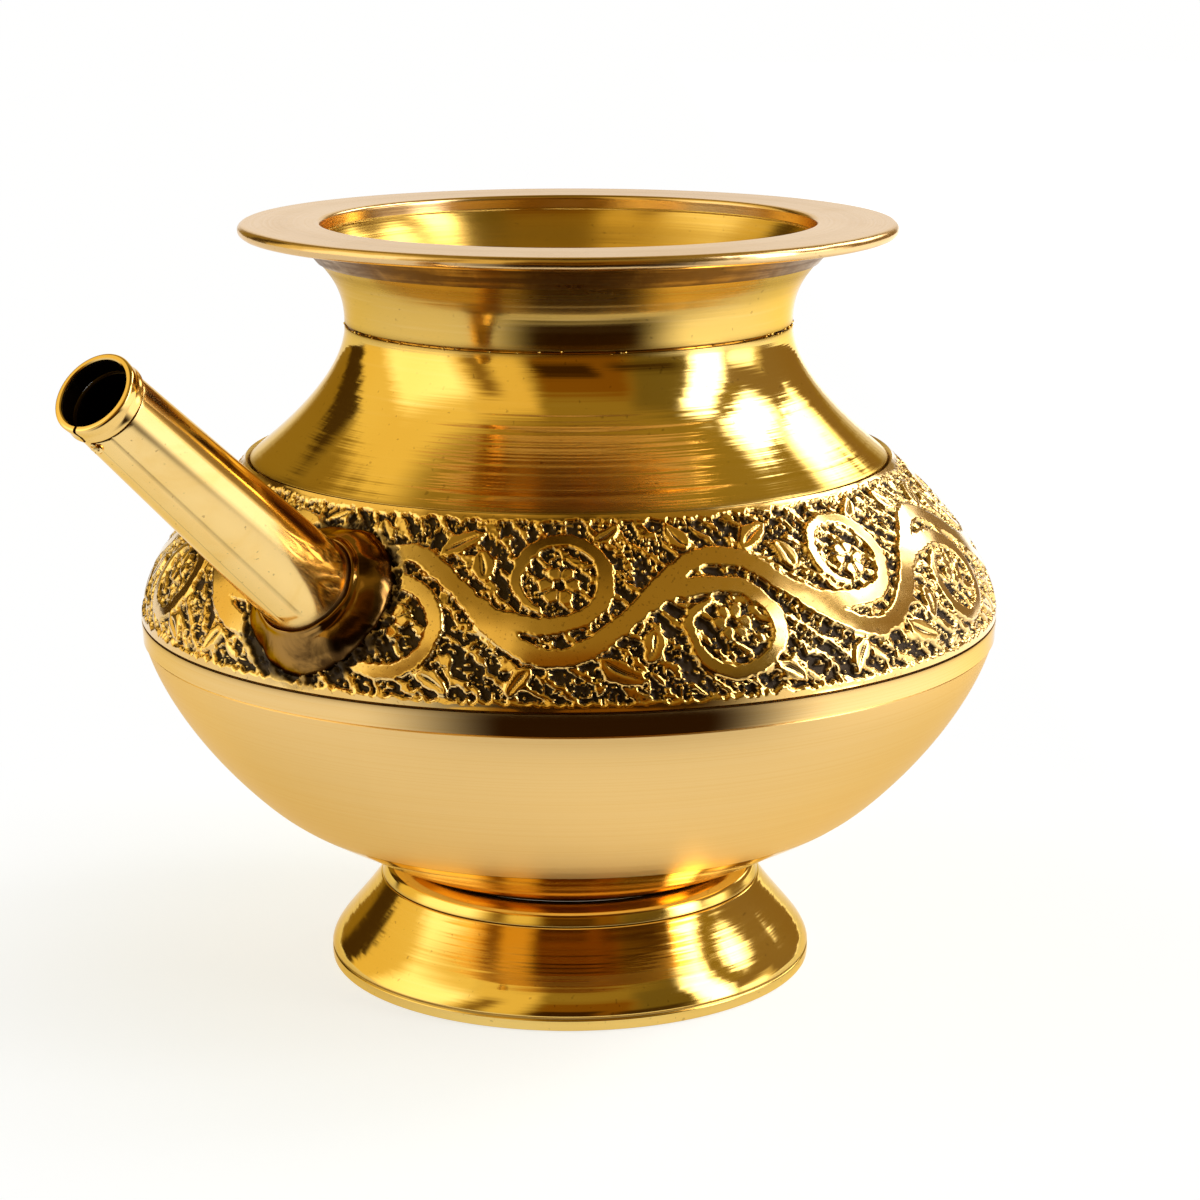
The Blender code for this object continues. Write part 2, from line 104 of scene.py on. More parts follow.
def soften(loop, reach, sharp=28):
    # Rounds the corners of a closed outline
    loop = [p for k, p in enumerate(loop) if np.linalg.norm(p - loop[k - 1]) > 1e-4]
    count = len(loop)
    closed = np.array(loop + [loop[0]])
    far = lengths(closed)
    total = far[-1]
    corners = []
    for k in range(count):
        before, after = loop[k] - loop[k - 1], loop[(k + 1) % count] - loop[k]
        turn = math.atan2(before[0] * after[1] - before[1] * after[0], before @ after)
        if abs(math.degrees(turn)) > sharp:
            corners.append(far[k])
    reaches = []
    for k, at in enumerate(corners):
        before = (at - corners[k - 1]) % total or total
        after = (corners[(k + 1) % len(corners)] - at) % total or total
        reaches.append(min(reach, 0.45 * before, 0.45 * after))

    def place(at):
        at %= total
        return np.array([np.interp(at, far, closed[:, 0]), np.interp(at, far, closed[:, 1])])

    out = []
    for k in range(count):
        hits = []
        for at, room in zip(corners, reaches):
            apart = abs((far[k] - at + total / 2) % total - total / 2)
            if apart < room:
                hits.append((apart, room, at))
        if not hits:
            out.append(loop[k])
        elif hits[0][0] < 1e-9:
            room, at = hits[0][1:]
            a, b, c = place(at - room), loop[k], place(at + room)
            for t in np.linspace(0, 1, 6):
                out.append((1 - t) ** 2 * a + 2 * (1 - t) * t * b + t * t * c)
    return np.array(out)


def refine(loop, step, closed):
    # Puts points on long edges
    ends = np.roll(loop, -1, axis=0)
    out = []
    for k, (a, b) in enumerate(zip(loop, ends)):
        if not closed and k == len(loop) - 1:
            out.append(a)
            break
        parts = max(1, int(math.ceil(np.linalg.norm(b - a) / step)))
        out += [a + (b - a) * q / parts for q in range(parts)]
    return np.array(out)


def turnedSkin(loop, segments, closed=True, span=360.0, start=0.0, grimeAndShade=(), step=1.2):
    # grimeAndShade lists (radius, height, reach, strength) of dark seams, and of painted shade where a piece
    # lists it
    loop = refine(np.array(loop, float), step, closed)
    around = segments if span == 360.0 else segments + 1
    angles = np.radians(start + span * np.arange(around) / segments)
    radius, height = loop[:, 0], loop[:, 1]
    x, y = np.outer(radius, np.cos(angles)), np.outer(radius, np.sin(angles))
    verts = np.stack([x, y, np.outer(height, np.ones(around))], 2)
    rows = len(loop)
    index = np.arange(rows * around).reshape(rows, around)
    index[radius < 1e-6] = index[radius < 1e-6][:, :1]
    faces = []
    for i in range(rows if closed else rows - 1):
        up, down = index[i], index[(i + 1) % rows]
        last = around if span == 360.0 else around - 1
        for j in range(last):
            face = []
            for corner in (up[j], down[j], down[(j + 1) % around], up[(j + 1) % around]):
                if corner not in face:
                    face.append(int(corner))
            if len(face) > 2:
                faces.append(face)
    if closed and span != 360.0:
        faces.append([int(k) for k in index[:, 0]])
        faces.append([int(k) for k in index[::-1, -1]])
    dirtAndShade = np.zeros(rows)
    for r, z, reach, strength in grimeAndShade:
        dirtAndShade = np.maximum(dirtAndShade, strength * np.exp(-np.hypot(radius - r, height - z) / reach))
    return {
        "verts": verts.reshape(-1, 3),
        "faces": faces,
        "along": np.repeat(lengths(loop), around),
        "dirtAndShade": np.repeat(dirtAndShade, around),
    }


def ringFaces(rows, parts):
    # Quads between rows of points that each go once round
    faces = []
    for i in range(rows - 1):
        for j in range(parts):
            k = (j + 1) % parts
            faces.append([i * parts + j, (i + 1) * parts + j, (i + 1) * parts + k, i * parts + k])
    return faces


def blob(centre, radii, axes, seed, rings=6, parts=10):
    # A small uneven lump, with its short axis along the last of the axes
    rng = np.random.default_rng(seed)
    verts = []
    for i in range(rings + 1):
        for j in range(parts):
            a, b = math.pi * i / rings, 2 * math.pi * j / parts
            wave = 1 + 0.12 * math.sin(3 * b + seed) + 0.06 * rng.standard_normal() * (0 < i < rings)
            local = np.array([math.sin(a) * math.cos(b), math.sin(a) * math.sin(b), math.cos(a)])
            verts.append(np.array(centre) + (local * radii * wave) @ axes)
    empty = np.zeros(len(verts))
    return {"verts": np.array(verts), "faces": ringFaces(rings + 1, parts), "along": empty, "dirtAndShade": empty}


def piece(name, skins, material, node, place=None, sharp=32):
    verts, faces, start = [], [], 0
    fields = {key: [] for key in skins[0] if key not in ("verts", "faces")}
    for skin in skins:
        verts.append(skin["verts"])
        faces += [[corner + start for corner in face] for face in skin["faces"]]
        start += len(skin["verts"])
        for key in fields:
            fields[key].append(skin[key])
    mesh = bpy.data.meshes.new(name)
    mesh.from_pydata((np.concatenate(verts) * mm).tolist(), [], faces)
    for key, values in fields.items():
        layer = mesh.attributes.new(key, "FLOAT", "POINT")
        layer.data.foreach_set("value", np.concatenate(values).astype(np.float32))
    mesh.validate()
    mesh.shade_smooth()
    mesh.set_sharp_from_angle(angle=math.radians(sharp))
    mesh.materials.append(material)
    thing = bpy.data.objects.new(name, mesh)
    bpy.context.scene.collection.objects.link(thing)
    thing.matrix_world = place if place is not None else Matrix.Translation((axisX, 0, 0))
    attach(thing, "root")
    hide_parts(node)
    return thing


class Grain:
    # Value noise on an unrolled ring, so it has no seam
    def __init__(self, wrap, seed):
        self.wrap = wrap
        self.seed = seed

    def layer(self, x, y, cell, seed):
        columns = max(1, int(round(self.wrap / cell)))
        table = np.random.default_rng(seed).random((512, columns))
        u, v = x / self.wrap * columns, y / cell + 256
        i, j = np.floor(u).astype(int), np.floor(v).astype(int)
        s, t = u - i, v - j
        s, t = s * s * (3 - 2 * s), t * t * (3 - 2 * t)
        i, i2, j, j2 = i % columns, (i + 1) % columns, j % 512, (j + 1) % 512
        first = table[j, i] * (1 - s) + table[j, i2] * s
        second = table[j2, i] * (1 - s) + table[j2, i2] * s
        return first * (1 - t) + second * t

    def at(self, x, y, cell, octaves=1):
        # Each call takes the next seed
        total, weight = 0, 0
        for k in range(octaves):
            total = total + self.layer(x, y, cell / 2**k, self.seed + 17 * k) / 2**k
            weight += 1 / 2**k
        self.seed += 101
        return total / weight

    def swing(self, x, y, cell, octaves=1):
        return self.at(x, y, cell, octaves) - 0.5


class Wire:
    # A socket in a node tree, with arithmetic
    def __init__(self, tree, socket=None):
        self.tree = tree
        self.socket = socket

    def make(self, kind, settings, inputs, out=0):
        node = self.tree.nodes.new("ShaderNode" + kind)
        for key, value in settings.items():
            setattr(node, key, value)
        for key, value in inputs.items():
            self.plug(node.inputs[key], value)
        return Wire(self.tree, node.outputs[out])

    def plug(self, socket, value):
        if isinstance(value, Wire):
            self.tree.links.new(value.socket, socket)
        elif socket.type == "RGBA":
            socket.default_value = (*value, 1.0) if isinstance(value, tuple) else (value, value, value, 1.0)
        elif socket.type == "VECTOR" and not isinstance(value, tuple):
            socket.default_value = (value, value, value)
        else:
            socket.default_value = value

    @staticmethod
    def wide(value):
        return isinstance(value, tuple) or isinstance(value, Wire) and value.socket.type in ("VECTOR", "RGBA")

    def calc(self, operation, first, second=0.0):
        kind = "VectorMath" if Wire.wide(first) or Wire.wide(second) else "Math"
        return self.make(kind, {"operation": operation}, {0: first, 1: second})

    def __add__(self, other):
        return self.calc("ADD", self, other)

    def __sub__(self, other):
        return self.calc("SUBTRACT", self, other)

    def __mul__(self, other):
        return self.calc("MULTIPLY", self, other)

    def __radd__(self, other):
        return self.calc("ADD", other, self)

    def __rsub__(self, other):
        return self.calc("SUBTRACT", other, self)

    def __rmul__(self, other):
        return self.calc("MULTIPLY", other, self)

    def lift(self, other):
        return self.calc("MAXIMUM", self, other)

    def cap(self, other):
        return self.calc("MINIMUM", self, other)

    def dot(self, other):
        return self.make("VectorMath", {"operation": "DOT_PRODUCT"}, {0: self, 1: other}, 1)

    def length(self):
        return self.make("VectorMath", {"operation": "LENGTH"}, {0: self}, 1)

    def between(self, low, high):
        inputs = {"Value": self, "From Min": low, "From Max": high}
        return self.make("MapRange", {"interpolation_type": "SMOOTHSTEP"}, inputs)

    def blend(self, first, second):
        if Wire.wide(first) or Wire.wide(second):
            return self.make("Mix", {"data_type": "RGBA"}, {0: self, 6: first, 7: second}, 2)
        return self.make("Mix", {"data_type": "FLOAT"}, {0: self, 2: first, 3: second})

    def noise(self, scale, detail=2.0, roughness=0.5, distortion=0.0):
        look = {"Scale": scale, "Detail": detail, "Roughness": roughness, "Distortion": distortion}
        return self.make("TexNoise", {}, {"Vector": self, **look})

    def value(self, name):
        return self.make("Attribute", {"attribute_name": name}, {}, 2)

    def where(self):
        return self.make("TexCoord", {}, {}, "Object")

    def ray(self, kind):
        return self.make("LightPath", {}, {}, kind)

    def parts(self):
        node = self.make("SeparateXYZ", {}, {0: self}).socket.node
        return [Wire(self.tree, output) for output in node.outputs]

    def join(self, x, y, z):
        return self.make("CombineXYZ", {}, {0: x, 1: y, 2: z})

    def bump(self, height):
        return self.make("Bump", {}, {"Height": height, "Strength": 1.0, "Distance": 0.001})


def metal(name, constants, paint):
    material = bpy.data.materials.new(name)
    material.use_nodes = True
    shader = material.node_tree.nodes["Principled BSDF"]
    tree = Wire(material.node_tree)
    for key, value in {**constants, **paint(tree)}.items():
        tree.plug(shader.inputs[key], value)
    return material


brass = (0.835, 0.59, 0.18)
warmBrass = (0.76, 0.475, 0.10)
paleBrass = (0.87, 0.62, 0.28)
patina = (0.030, 0.016, 0.005)
brownPatina = (0.115, 0.055, 0.014)
edgeTint = (0.93, 0.77, 0.46)      # of brass seen at a glancing angle
brushed = {"Metallic": 1.0, "Anisotropic Rotation": 0.25}

plainLook = {
    "colour": brass, "warm": warmBrass, "pale": paleBrass, "edge": edgeTint, "lines": 3.2, "rough": 0.12,
    "brush": 0.10, "haze": 0.04, "streaks": 0.25, "wave": 0.014, "hair": 0.0024, "stretch": 0.45,
}


def turnedBrass(name, look):
    # Spun or turned brass: fine rings round the axis, streaks, smudges, grime in its seams, and painted shade
    # where its piece lists it
    def paint(tree):
        place = tree.where()
        x, y = place.parts()[:2]
        along = tree.value("along") * look["lines"]
        hairs = tree.join(x * 10, y * 10, along).noise(1.0, 1.0, 0.5)
        rings = tree.join(x * 7, y * 7, along * 0.3).noise(1.0, 2.0, 0.55)
        streaks = tree.join(x * 45, y * 45, along * 0.6).noise(1.0, 2.0, 0.6)
        smudge = place.noise(70.0, 4.0, 0.6, 0.6)
        cloud = place.noise(22.0, 3.0, 0.55)
        specks = place.noise(1500.0, 1.0).between(0.70, 0.78)
        # Darker, rougher brown where this is high: dirt in seams, and painted shade where a piece lists broad
        # entries
        grimeAndShade = (tree.value("dirtAndShade") * (0.55 + smudge * 0.9)).cap(1.0)
        tone = cloud.between(0.35, 0.7).blend(look["colour"], look["warm"])
        tone = (streaks.between(0.5, 0.8) * look["streaks"]).blend(tone, look["pale"])
        tone = (specks * 0.3).blend(tone, brownPatina)
        tone = grimeAndShade.blend(tone, brownPatina)
        rough = look["rough"] + (hairs - 0.5) * look["brush"] + smudge.between(0.45, 0.8) * look["haze"]
        rough = grimeAndShade.blend(rough.lift(0.05), 0.5)
        height = rings * look["wave"] + hairs * look["hair"] + streaks * (look["hair"] * 0.5)
        return {"Base Color": tone, "Roughness": rough, "Normal": tree.bump(height)}

    return metal(name, {**brushed, "Specular Tint": look["edge"], "Anisotropic": look["stretch"]}, paint)


# Outlines of the turned pieces on their outer side, from the rim down
rimTop, rimRadius, rimThick = 88.9, 38.3, 1.5
rimUnder = rimTop - rimThick
neckTop, neckRadius, mouthRadius = rimUnder - gap, 31.5, 28.7
seamHeight, seamRadius = 77.3, 26.15           # between the neck and the shoulder
neckLine = curve((neckRadius, neckTop), heading(228) * 4.3, heading(90) * 4.9, (seamRadius, seamHeight))
shoulderEdge = (37.5, 61.6)
shoulderLine = curve((seamRadius, seamHeight - gap), heading(-90) * 7.0, heading(134) * 1.0, shoulderEdge)
downSlope, outSlope = heading(-46), heading(44)
bandRise = 0.45                    # of the band above the shoulder
bandTop = np.array(shoulderEdge) + outSlope * bandRise + downSlope * gap
bellyRadius, bowlTop = 50.65, 43.2
bandLine = curve(bandTop, downSlope * 3.0, heading(90) * 7.2, (bellyRadius, bowlTop + gap))
bowlLine = curve((bellyRadius, bowlTop), heading(-90) * 8.7, heading(0) * 32.9, (0, 7.85), 120)
flareLine = curve((22.9, 10.2), heading(-57) * 5.5, heading(90) * 2.0, (29.0, 1.4))
shoulderLap, bowlLap, lapWall = 1.6, 1.7, 0.8  # depth of the laps under the skin, and their wall
neckWall = shoulderLap + lapWall
bandWall = bandRise + neckWall
neckFoot = (seamRadius - neckWall, seamHeight)
neckInner = curve((mouthRadius, neckTop), heading(-112) * 3, heading(80) * 3, neckFoot)

rimFlange = {
    "mouthEdge": 0.5, "outerEdge": 0.75,       # radii of its rounded edges
    "nicks": 0.05, "dents": 0.16,              # in the outer edge
    "grimeAndShade": [(33.4, rimUnder, 0.5, 0.9)],
    "look": {
        **plainLook, "colour": (0.74, 0.51, 0.25), "warm": (0.69, 0.45, 0.19), "edge": (0.98, 0.87, 0.72),
        "rough": 0.2, "lines": 4.0, "wave": 0.008,
    },
}


def makeRim():
    inner, outer = rimFlange["mouthEdge"], rimFlange["outerEdge"]
    throat = arc((mouthRadius + inner + 0.05, rimTop - inner), inner, 185, 90)
    edge = arc((rimRadius - outer, rimTop - outer), outer, 90, -90, 14)
    loop = np.concatenate([[(mouthRadius, rimUnder)], throat, edge])
    skin = turnedSkin(loop, segments, grimeAndShade=rimFlange["grimeAndShade"], step=0.6)
    grain = Grain(2 * math.pi * rimRadius, 5)
    verts = skin["verts"]
    turn = np.arctan2(verts[:, 1], verts[:, 0]) * rimRadius
    reach = np.hypot(verts[:, 0], verts[:, 1])
    marks = grain.swing(turn, verts[:, 2], 0.7) * rimFlange["nicks"]
    marks += grain.swing(turn, verts[:, 2], 6.0, 2) * rimFlange["dents"]
    shift = smooth(rimRadius - 0.9, rimRadius - 0.3, reach) * (marks - 0.06)
    verts[:, :2] *= (1 + shift / reach)[:, None]
    piece("rimFlange", [skin], turnedBrass("rimBrass", rimFlange["look"]), "rim_flange")


rimBraze = {
    "foot": 2.6, "radius": 32.7, "tip": 0.16,  # height on the neck, reach under the rim, thickness below
    "ripple": 0.10, "waves": 0.14,
    "dark": (0.20, 0.10, 0.024), "light": (0.44, 0.25, 0.07),
}


def makeRimBraze():
    # Filler metal: dull, stained, with file and tool marks
    def paint(tree):
        place = tree.where()
        x, y, z = place.parts()
        stain = place.noise(160.0, 5.0, 0.65, 1.2)
        pits = place.noise(900.0, 3.0, 0.6)
        marks = tree.join(x * 60, y * 60, z * 1500).noise(1.0, 3.0, 0.6, 0.4)
        worn = (stain * 0.4 + marks * 0.6).between(0.42, 0.68)
        tone = worn.blend(rimBraze["dark"], rimBraze["light"])
        tone = (pits.between(0.66, 0.78) * 0.6).blend(tone, patina)
        rough = worn.blend(0.42, 0.2) + pits * 0.08
        height = marks * 0.02 + stain * 0.03 + pits * 0.005
        return {"Base Color": tone, "Roughness": rough, "Normal": tree.bump(height)}

    radius = rimBraze["radius"]
    low = np.argmin(abs(neckLine[:, 1] - (neckTop - rimBraze["foot"])))
    seat = inset(neckLine, -0.06)
    tip = inset(neckLine, -rimBraze["tip"])[low]
    face = curve((radius, neckTop), heading(180) * 1.2, heading(52) * 1.2, tip, 24)
    top = np.argmin(abs(seat[:, 1] - neckTop))
    loop = np.concatenate([[(radius, rimUnder + 0.02)], face, seat[top : low + 1][::-1]])
    skin = turnedSkin(loop, segments, step=0.3)
    verts = skin["verts"]
    middle = 31                    # a mean radius, to unroll it
    turn = np.arctan2(verts[:, 1], verts[:, 0]) * middle
    grain = Grain(2 * math.pi * middle, 9)
    wave = grain.swing(turn, verts[:, 2], 1.6, 2) * rimBraze["ripple"]
    wave += grain.swing(turn, verts[:, 2], 6.0) * rimBraze["waves"]
    reach = np.hypot(verts[:, 0], verts[:, 1])
    verts[:, :2] *= (1 + wave / reach)[:, None]
    piece("rimBraze", [skin], metal("rimBrazeMetal", {"Metallic": 1.0}, paint), "rim_braze", sharp=60)


neckRing = {
    "lip": 3.0,                    # depth of its lap in the shoulder
    "beads": 90, "beadSize": (0.09, 0.24), "beadSpread": (-0.14, 0.18),        # of braze along the seam
    # The first entry is dirt in the seam with the shoulder; the two broad ones are painted shade under the
    # rim flange, on the upper neck and inside the mouth
    "grimeAndShade": [(seamRadius, 77.2, 0.28, 1.0), (30.6, 86.2, 1.5, 0.75), (28.2, 83.6, 2.2, 0.42)],
    "look": {
        **plainLook, "colour": (0.70, 0.455, 0.11), "rough": 0.14, "lines": 2.9, "wave": 0.050, "hair": 0.005,
    },
}


def makeNeck():
    lip = above(shoulderLine, seamHeight - neckRing["lip"])
    outline = [
        [(mouthRadius, rimUnder + 0.02), (neckRadius, rimUnder + 0.02)],
        neckLine, inset(neckLine, shoulderLap)[-1:],
        inset(lip, shoulderLap), inset(lip, neckWall)[::-1], neckInner[::-1],
    ]
    loop = soften(np.concatenate(outline), 0.12)
    skins = [turnedSkin(loop, segments, grimeAndShade=neckRing["grimeAndShade"], step=0.5)]
    rng = np.random.default_rng(21)
    for k in range(neckRing["beads"]):
        a = rng.uniform(0, 2 * math.pi)
        out = np.array([math.cos(a), math.sin(a), 0])
        side = np.array([-out[1], out[0], 0])
        size = rng.uniform(*neckRing["beadSize"])
        rise = seamHeight - 0.18 + rng.uniform(*neckRing["beadSpread"])
        centre = out * (seamRadius - 0.05) + np.array([0, 0, rise])
        radii = np.array([size * rng.uniform(1, 2), size * 0.8, 0.16])
        skins.append(blob(centre, radii, np.array([side, [0, 0, 1], out]), k))
    piece("neckRing", skins, turnedBrass("neckBrass", neckRing["look"]), "neck")


shoulderShell = {
    "wall": 1.3,
    "grimeAndShade": [(seamRadius, 77.1, 0.3, 1.0), (37.6, 61.5, 0.35, 0.9)],
    "look": {**plainLook, "rough": 0.075, "brush": 0.08, "wave": 0.042, "hair": 0.004},
}


def makeShoulder():
    inner = inset(shoulderLine, shoulderShell["wall"])[::-1]
    loop = soften(np.concatenate([shoulderLine, inner]), 0.12)
    skin = turnedSkin(loop, segments, grimeAndShade=shoulderShell["grimeAndShade"], step=0.5)
    piece("shoulderShell", [skin], turnedBrass("shoulderBrass", shoulderShell["look"]), "shoulder")


lowerBowl = {
    "ledge": 2.5,                  # height of the polished ledge below the band
    "strip": 35.2,                 # radius where the polished strip above the foot begins
    "wall": 1.4, "lift": 1.1,      # lift of the underside, just above the foot ring
    "land": (50.58, 50.47), "groove": 50.3,    # radii of the ledge's face, and of the groove below it
    "satin": (0.85, 0.57, 0.225), "rings": (0.80, 0.49, 0.15),
    "grimeAndShade": [(50.6, 43.3, 0.3, 0.8), (19.8, 12.3, 0.5, 1.0)],
}


def makeBowl():
    ledge = lowerBowl["ledge"]
    ledgeFoot = bowlTop - ledge
    outer = respace(bowlLine, 0.45)
    outer = outer[lengths(outer) > ledge + 0.5]
    landTop, landFoot = (lowerBowl["land"][0], bowlTop - 0.02), (lowerBowl["land"][1], ledgeFoot + 0.1)
    land = curve(landTop, heading(-90) * 0.7, heading(90) * 0.7, landFoot, 14)
    step = np.interp(ledgeFoot - 0.12, bowlLine[::-1, 1], bowlLine[::-1, 0])
    groove = [(lowerBowl["groove"], ledgeFoot), (step - 0.06, ledgeFoot - 0.04), (step, ledgeFoot - 0.16)]
    outer = np.concatenate([land, groove, outer])
    outer[:, 1] += lowerBowl["lift"] * smooth(38, 28, outer[:, 0])
    outer[-1] = (0, bowlLine[-1, 1] + lowerBowl["lift"])
    inner = inset(bowlLine, lowerBowl["wall"])[::-1]
    inner[0] = (0, inner[0][1])
    loop = np.concatenate([[(50.40, bowlTop)], outer, inner])
    strip = float(lengths(loop)[np.argmax(loop[:, 0] < lowerBowl["strip"])])

    def paint(tree):
        place = tree.where()
        x, y = place.parts()[:2]
        along = tree.value("along")
        polish = along.between(ledge + 0.35, ledge + 0.2).lift(along.between(strip - 0.1, strip + 0.1))
        hairs = tree.join(x * 20, y * 20, along * 4.2).noise(1.0, 3.0, 0.7)
        rings = tree.join(x * 4, y * 4, along * 1.1).noise(1.0, 3.0, 0.6)
        fineRings = tree.join(x * 8, y * 8, along * 9.0).noise(1.0, 2.0, 0.6)
        smudge = place.noise(60.0, 4.0, 0.6, 0.5)
        grimeAndShade = (tree.value("dirtAndShade") * (0.5 + smudge)).cap(1.0)
        line = along.between(strip - 0.16, strip - 0.04) * along.between(strip + 0.16, strip + 0.04)
        tone = (fineRings.between(0.4, 0.75) * 0.5).blend(lowerBowl["satin"], lowerBowl["rings"])
        tone = (hairs.between(0.55, 0.85) * 0.35).blend(tone, paleBrass)
        tone = (line * 0.7).blend(grimeAndShade.blend(tone, brownPatina), brownPatina)
        dull = 0.34 + (hairs - 0.5) * 0.16 + smudge.between(0.5, 0.8) * 0.05
        rough = grimeAndShade.blend(polish.blend(dull, 0.05 + hairs * 0.05), 0.5)
        turned = rings * 0.016 + hairs * 0.003 + fineRings * 0.0016
        height = polish.blend(turned, rings * 0.010 + hairs * 0.0012)
        return {"Base Color": tone, "Roughness": rough, "Normal": tree.bump(height)}

    satin = metal("bowlBrass", {**brushed, "Specular Tint": edgeTint, "Anisotropic": 0.5}, paint)
    skin = turnedSkin(loop, segments, grimeAndShade=lowerBowl["grimeAndShade"], step=1.2)
    piece("lowerBowl", [skin], satin, "lower_bowl")


footRing = {
    "seat": (16.4, 19.9), "lift": 1.2,         # radii of its seat, raised with the bowl's underside
    "face": [(20.4, 12.34), (21.5, 11.96), (22.15, 11.68), (22.36, 11.45), (22.8, 10.36)],
    "heel": [(22.72, 10.25), (21.9, 10.25), (21.9, 8.5), (16.5, 8.5)],
    "grimeAndShade": [(20.2, 12.45, 0.3, 0.8), (22.8, 10.25, 0.14, 0.9)],
    "look": {**plainLook, "rough": 0.10, "lines": 3.0, "wave": 0.010},
}


def makeFootRing():
    inner, outer = footRing["seat"]
    seat = inset(bowlLine, -0.12)
    seat = seat[(seat[:, 0] >= inner) & (seat[:, 0] <= outer)] + np.array([0, footRing["lift"]])
    loop = soften(np.concatenate([seat[:1], footRing["face"], footRing["heel"], seat[::-1]]), 0.16)
    skin = turnedSkin(loop, segments, grimeAndShade=footRing["grimeAndShade"], step=0.3)
    piece("footRing", [skin], turnedBrass("footRingBrass", footRing["look"]), "foot_ring")


footFlare = {
    "wall": 1.6, "hollow": 6.6,    # height of the hollow under the foot
    "base": 29.0, "edge": 0.4, "rest": 26.6,   # radii of the base, its edge and its inner side
    "ledge": [(16.5, 8.2), (22.2, 8.2), (22.2, 10.2)],
    "groove": [(29.0, 1.75), (28.82, 1.58), (28.84, 1.42), (29.0, 1.28)],      # above the base's edge
    "grimeAndShade": [(22.2, 10.1, 0.2, 1.0), (28.84, 1.5, 0.16, 0.8)],
    "look": {**plainLook, "rough": 0.075, "brush": 0.07, "lines": 3.0, "wave": 0.034, "hair": 0.003},
}


def makeFootFlare():
    inner = below(above(inset(flareLine, footFlare["wall"]), 0.2), footFlare["hollow"])[::-1]
    edge = footFlare["edge"]
    base = arc((footFlare["base"] - edge, edge), edge, 0, -90, 8)
    outer = np.concatenate([footFlare["ledge"], above(flareLine, 1.9), footFlare["groove"], base])
    loop = np.concatenate([outer, [(footFlare["rest"], 0.0)], inner, [(16.5, footFlare["hollow"])]])
    loop = soften(loop, 0.16)
    skin = turnedSkin(loop, segments, grimeAndShade=footFlare["grimeAndShade"], step=0.4)
    piece("footFlare", [skin], turnedBrass("footFlareBrass", footFlare["look"]), "foot_flare")


# Spout, in a frame with Z along it and X to its underside
rootHeight, riseAngle, spoutLength, lipLength = 53.0, 39.0, 41.5, 2.2
collarTop = 2.7                    # of the braze on the tube
rootRadius = float(np.interp(-rootHeight, -bandLine[:, 1], bandLine[:, 0]))
slant = math.radians(90 - riseAngle)
rootPlace = Matrix.Translation((axisX + rootRadius * mm, 0, rootHeight * mm))
spoutPlace = rootPlace @ Matrix.Rotation(slant, 4, "Y")
spoutAxis = np.array([math.sin(slant), 0, math.cos(slant)])


def spoutDistance(points):
    # From the spout's axis, for points about the pot's axis
    rel = points - np.array([rootRadius, 0, rootHeight])
    deep = rel @ spoutAxis
    return np.linalg.norm(rel - deep[:, None] * spoutAxis, axis=1), deep


def spoutBrass(name, look):
    # Rolled and polished tube: shallow dents, lengthwise hairs, specks
    def paint(tree):
        place = tree.where()
        x, y, z = place.parts()
        lengthwise = tree.join(x * 900, y * 900, z * 16).noise(1.0, 3.0, 0.6)
        crosswise = tree.join(x * 30, y * 30, z * 2200).noise(1.0, 2.0, 0.6)
        smudge = place.noise(120.0, 4.0, 0.6, 0.8)
        dents = place.noise(95.0, 1.0)
        specks = place.noise(1700.0, 1.0).between(0.72, 0.78)
        # Towards the dark colour: seam and root lines, and painted shade inside the bore
        grimeAndShade = (tree.value("dirtAndShade") * (0.6 + smudge * 0.8)).cap(1.0)
        tone = smudge.between(0.4, 0.75).blend(look["colour"], look["warm"])
        tone = (specks * 0.4).blend(tone, brownPatina)
        tone = grimeAndShade.blend(tone, look["darkColour"])
        rough = look["rough"] + (lengthwise - 0.5) * 0.05 + smudge.between(0.5, 0.8) * 0.04
        rough = grimeAndShade.blend(rough.lift(0.04), 0.45)
        height = dents * 0.05 + lengthwise * 0.0012 + crosswise * 0.0008
        return {"Base Color": tone, "Roughness": rough, "Normal": tree.bump(height)}

    return metal(name, {"Metallic": 1.0, "Specular Tint": edgeTint}, paint)


spoutTube = {
    "tip": 4.15, "root": 5.5, "wall": 0.5,     # outer radii at its ends
    "seam": (9.0, 35.0), "seamRise": 0.12,     # edges of the lapped strip in degrees from the underside
    "look": {
        # The dark colour here fills the seam lines, and paints the shade inside the bore
        "colour": (0.90, 0.63, 0.25), "warm": (0.86, 0.56, 0.18), "darkColour": (0.022, 0.012, 0.004),
        "rough": 0.11,
    },
}


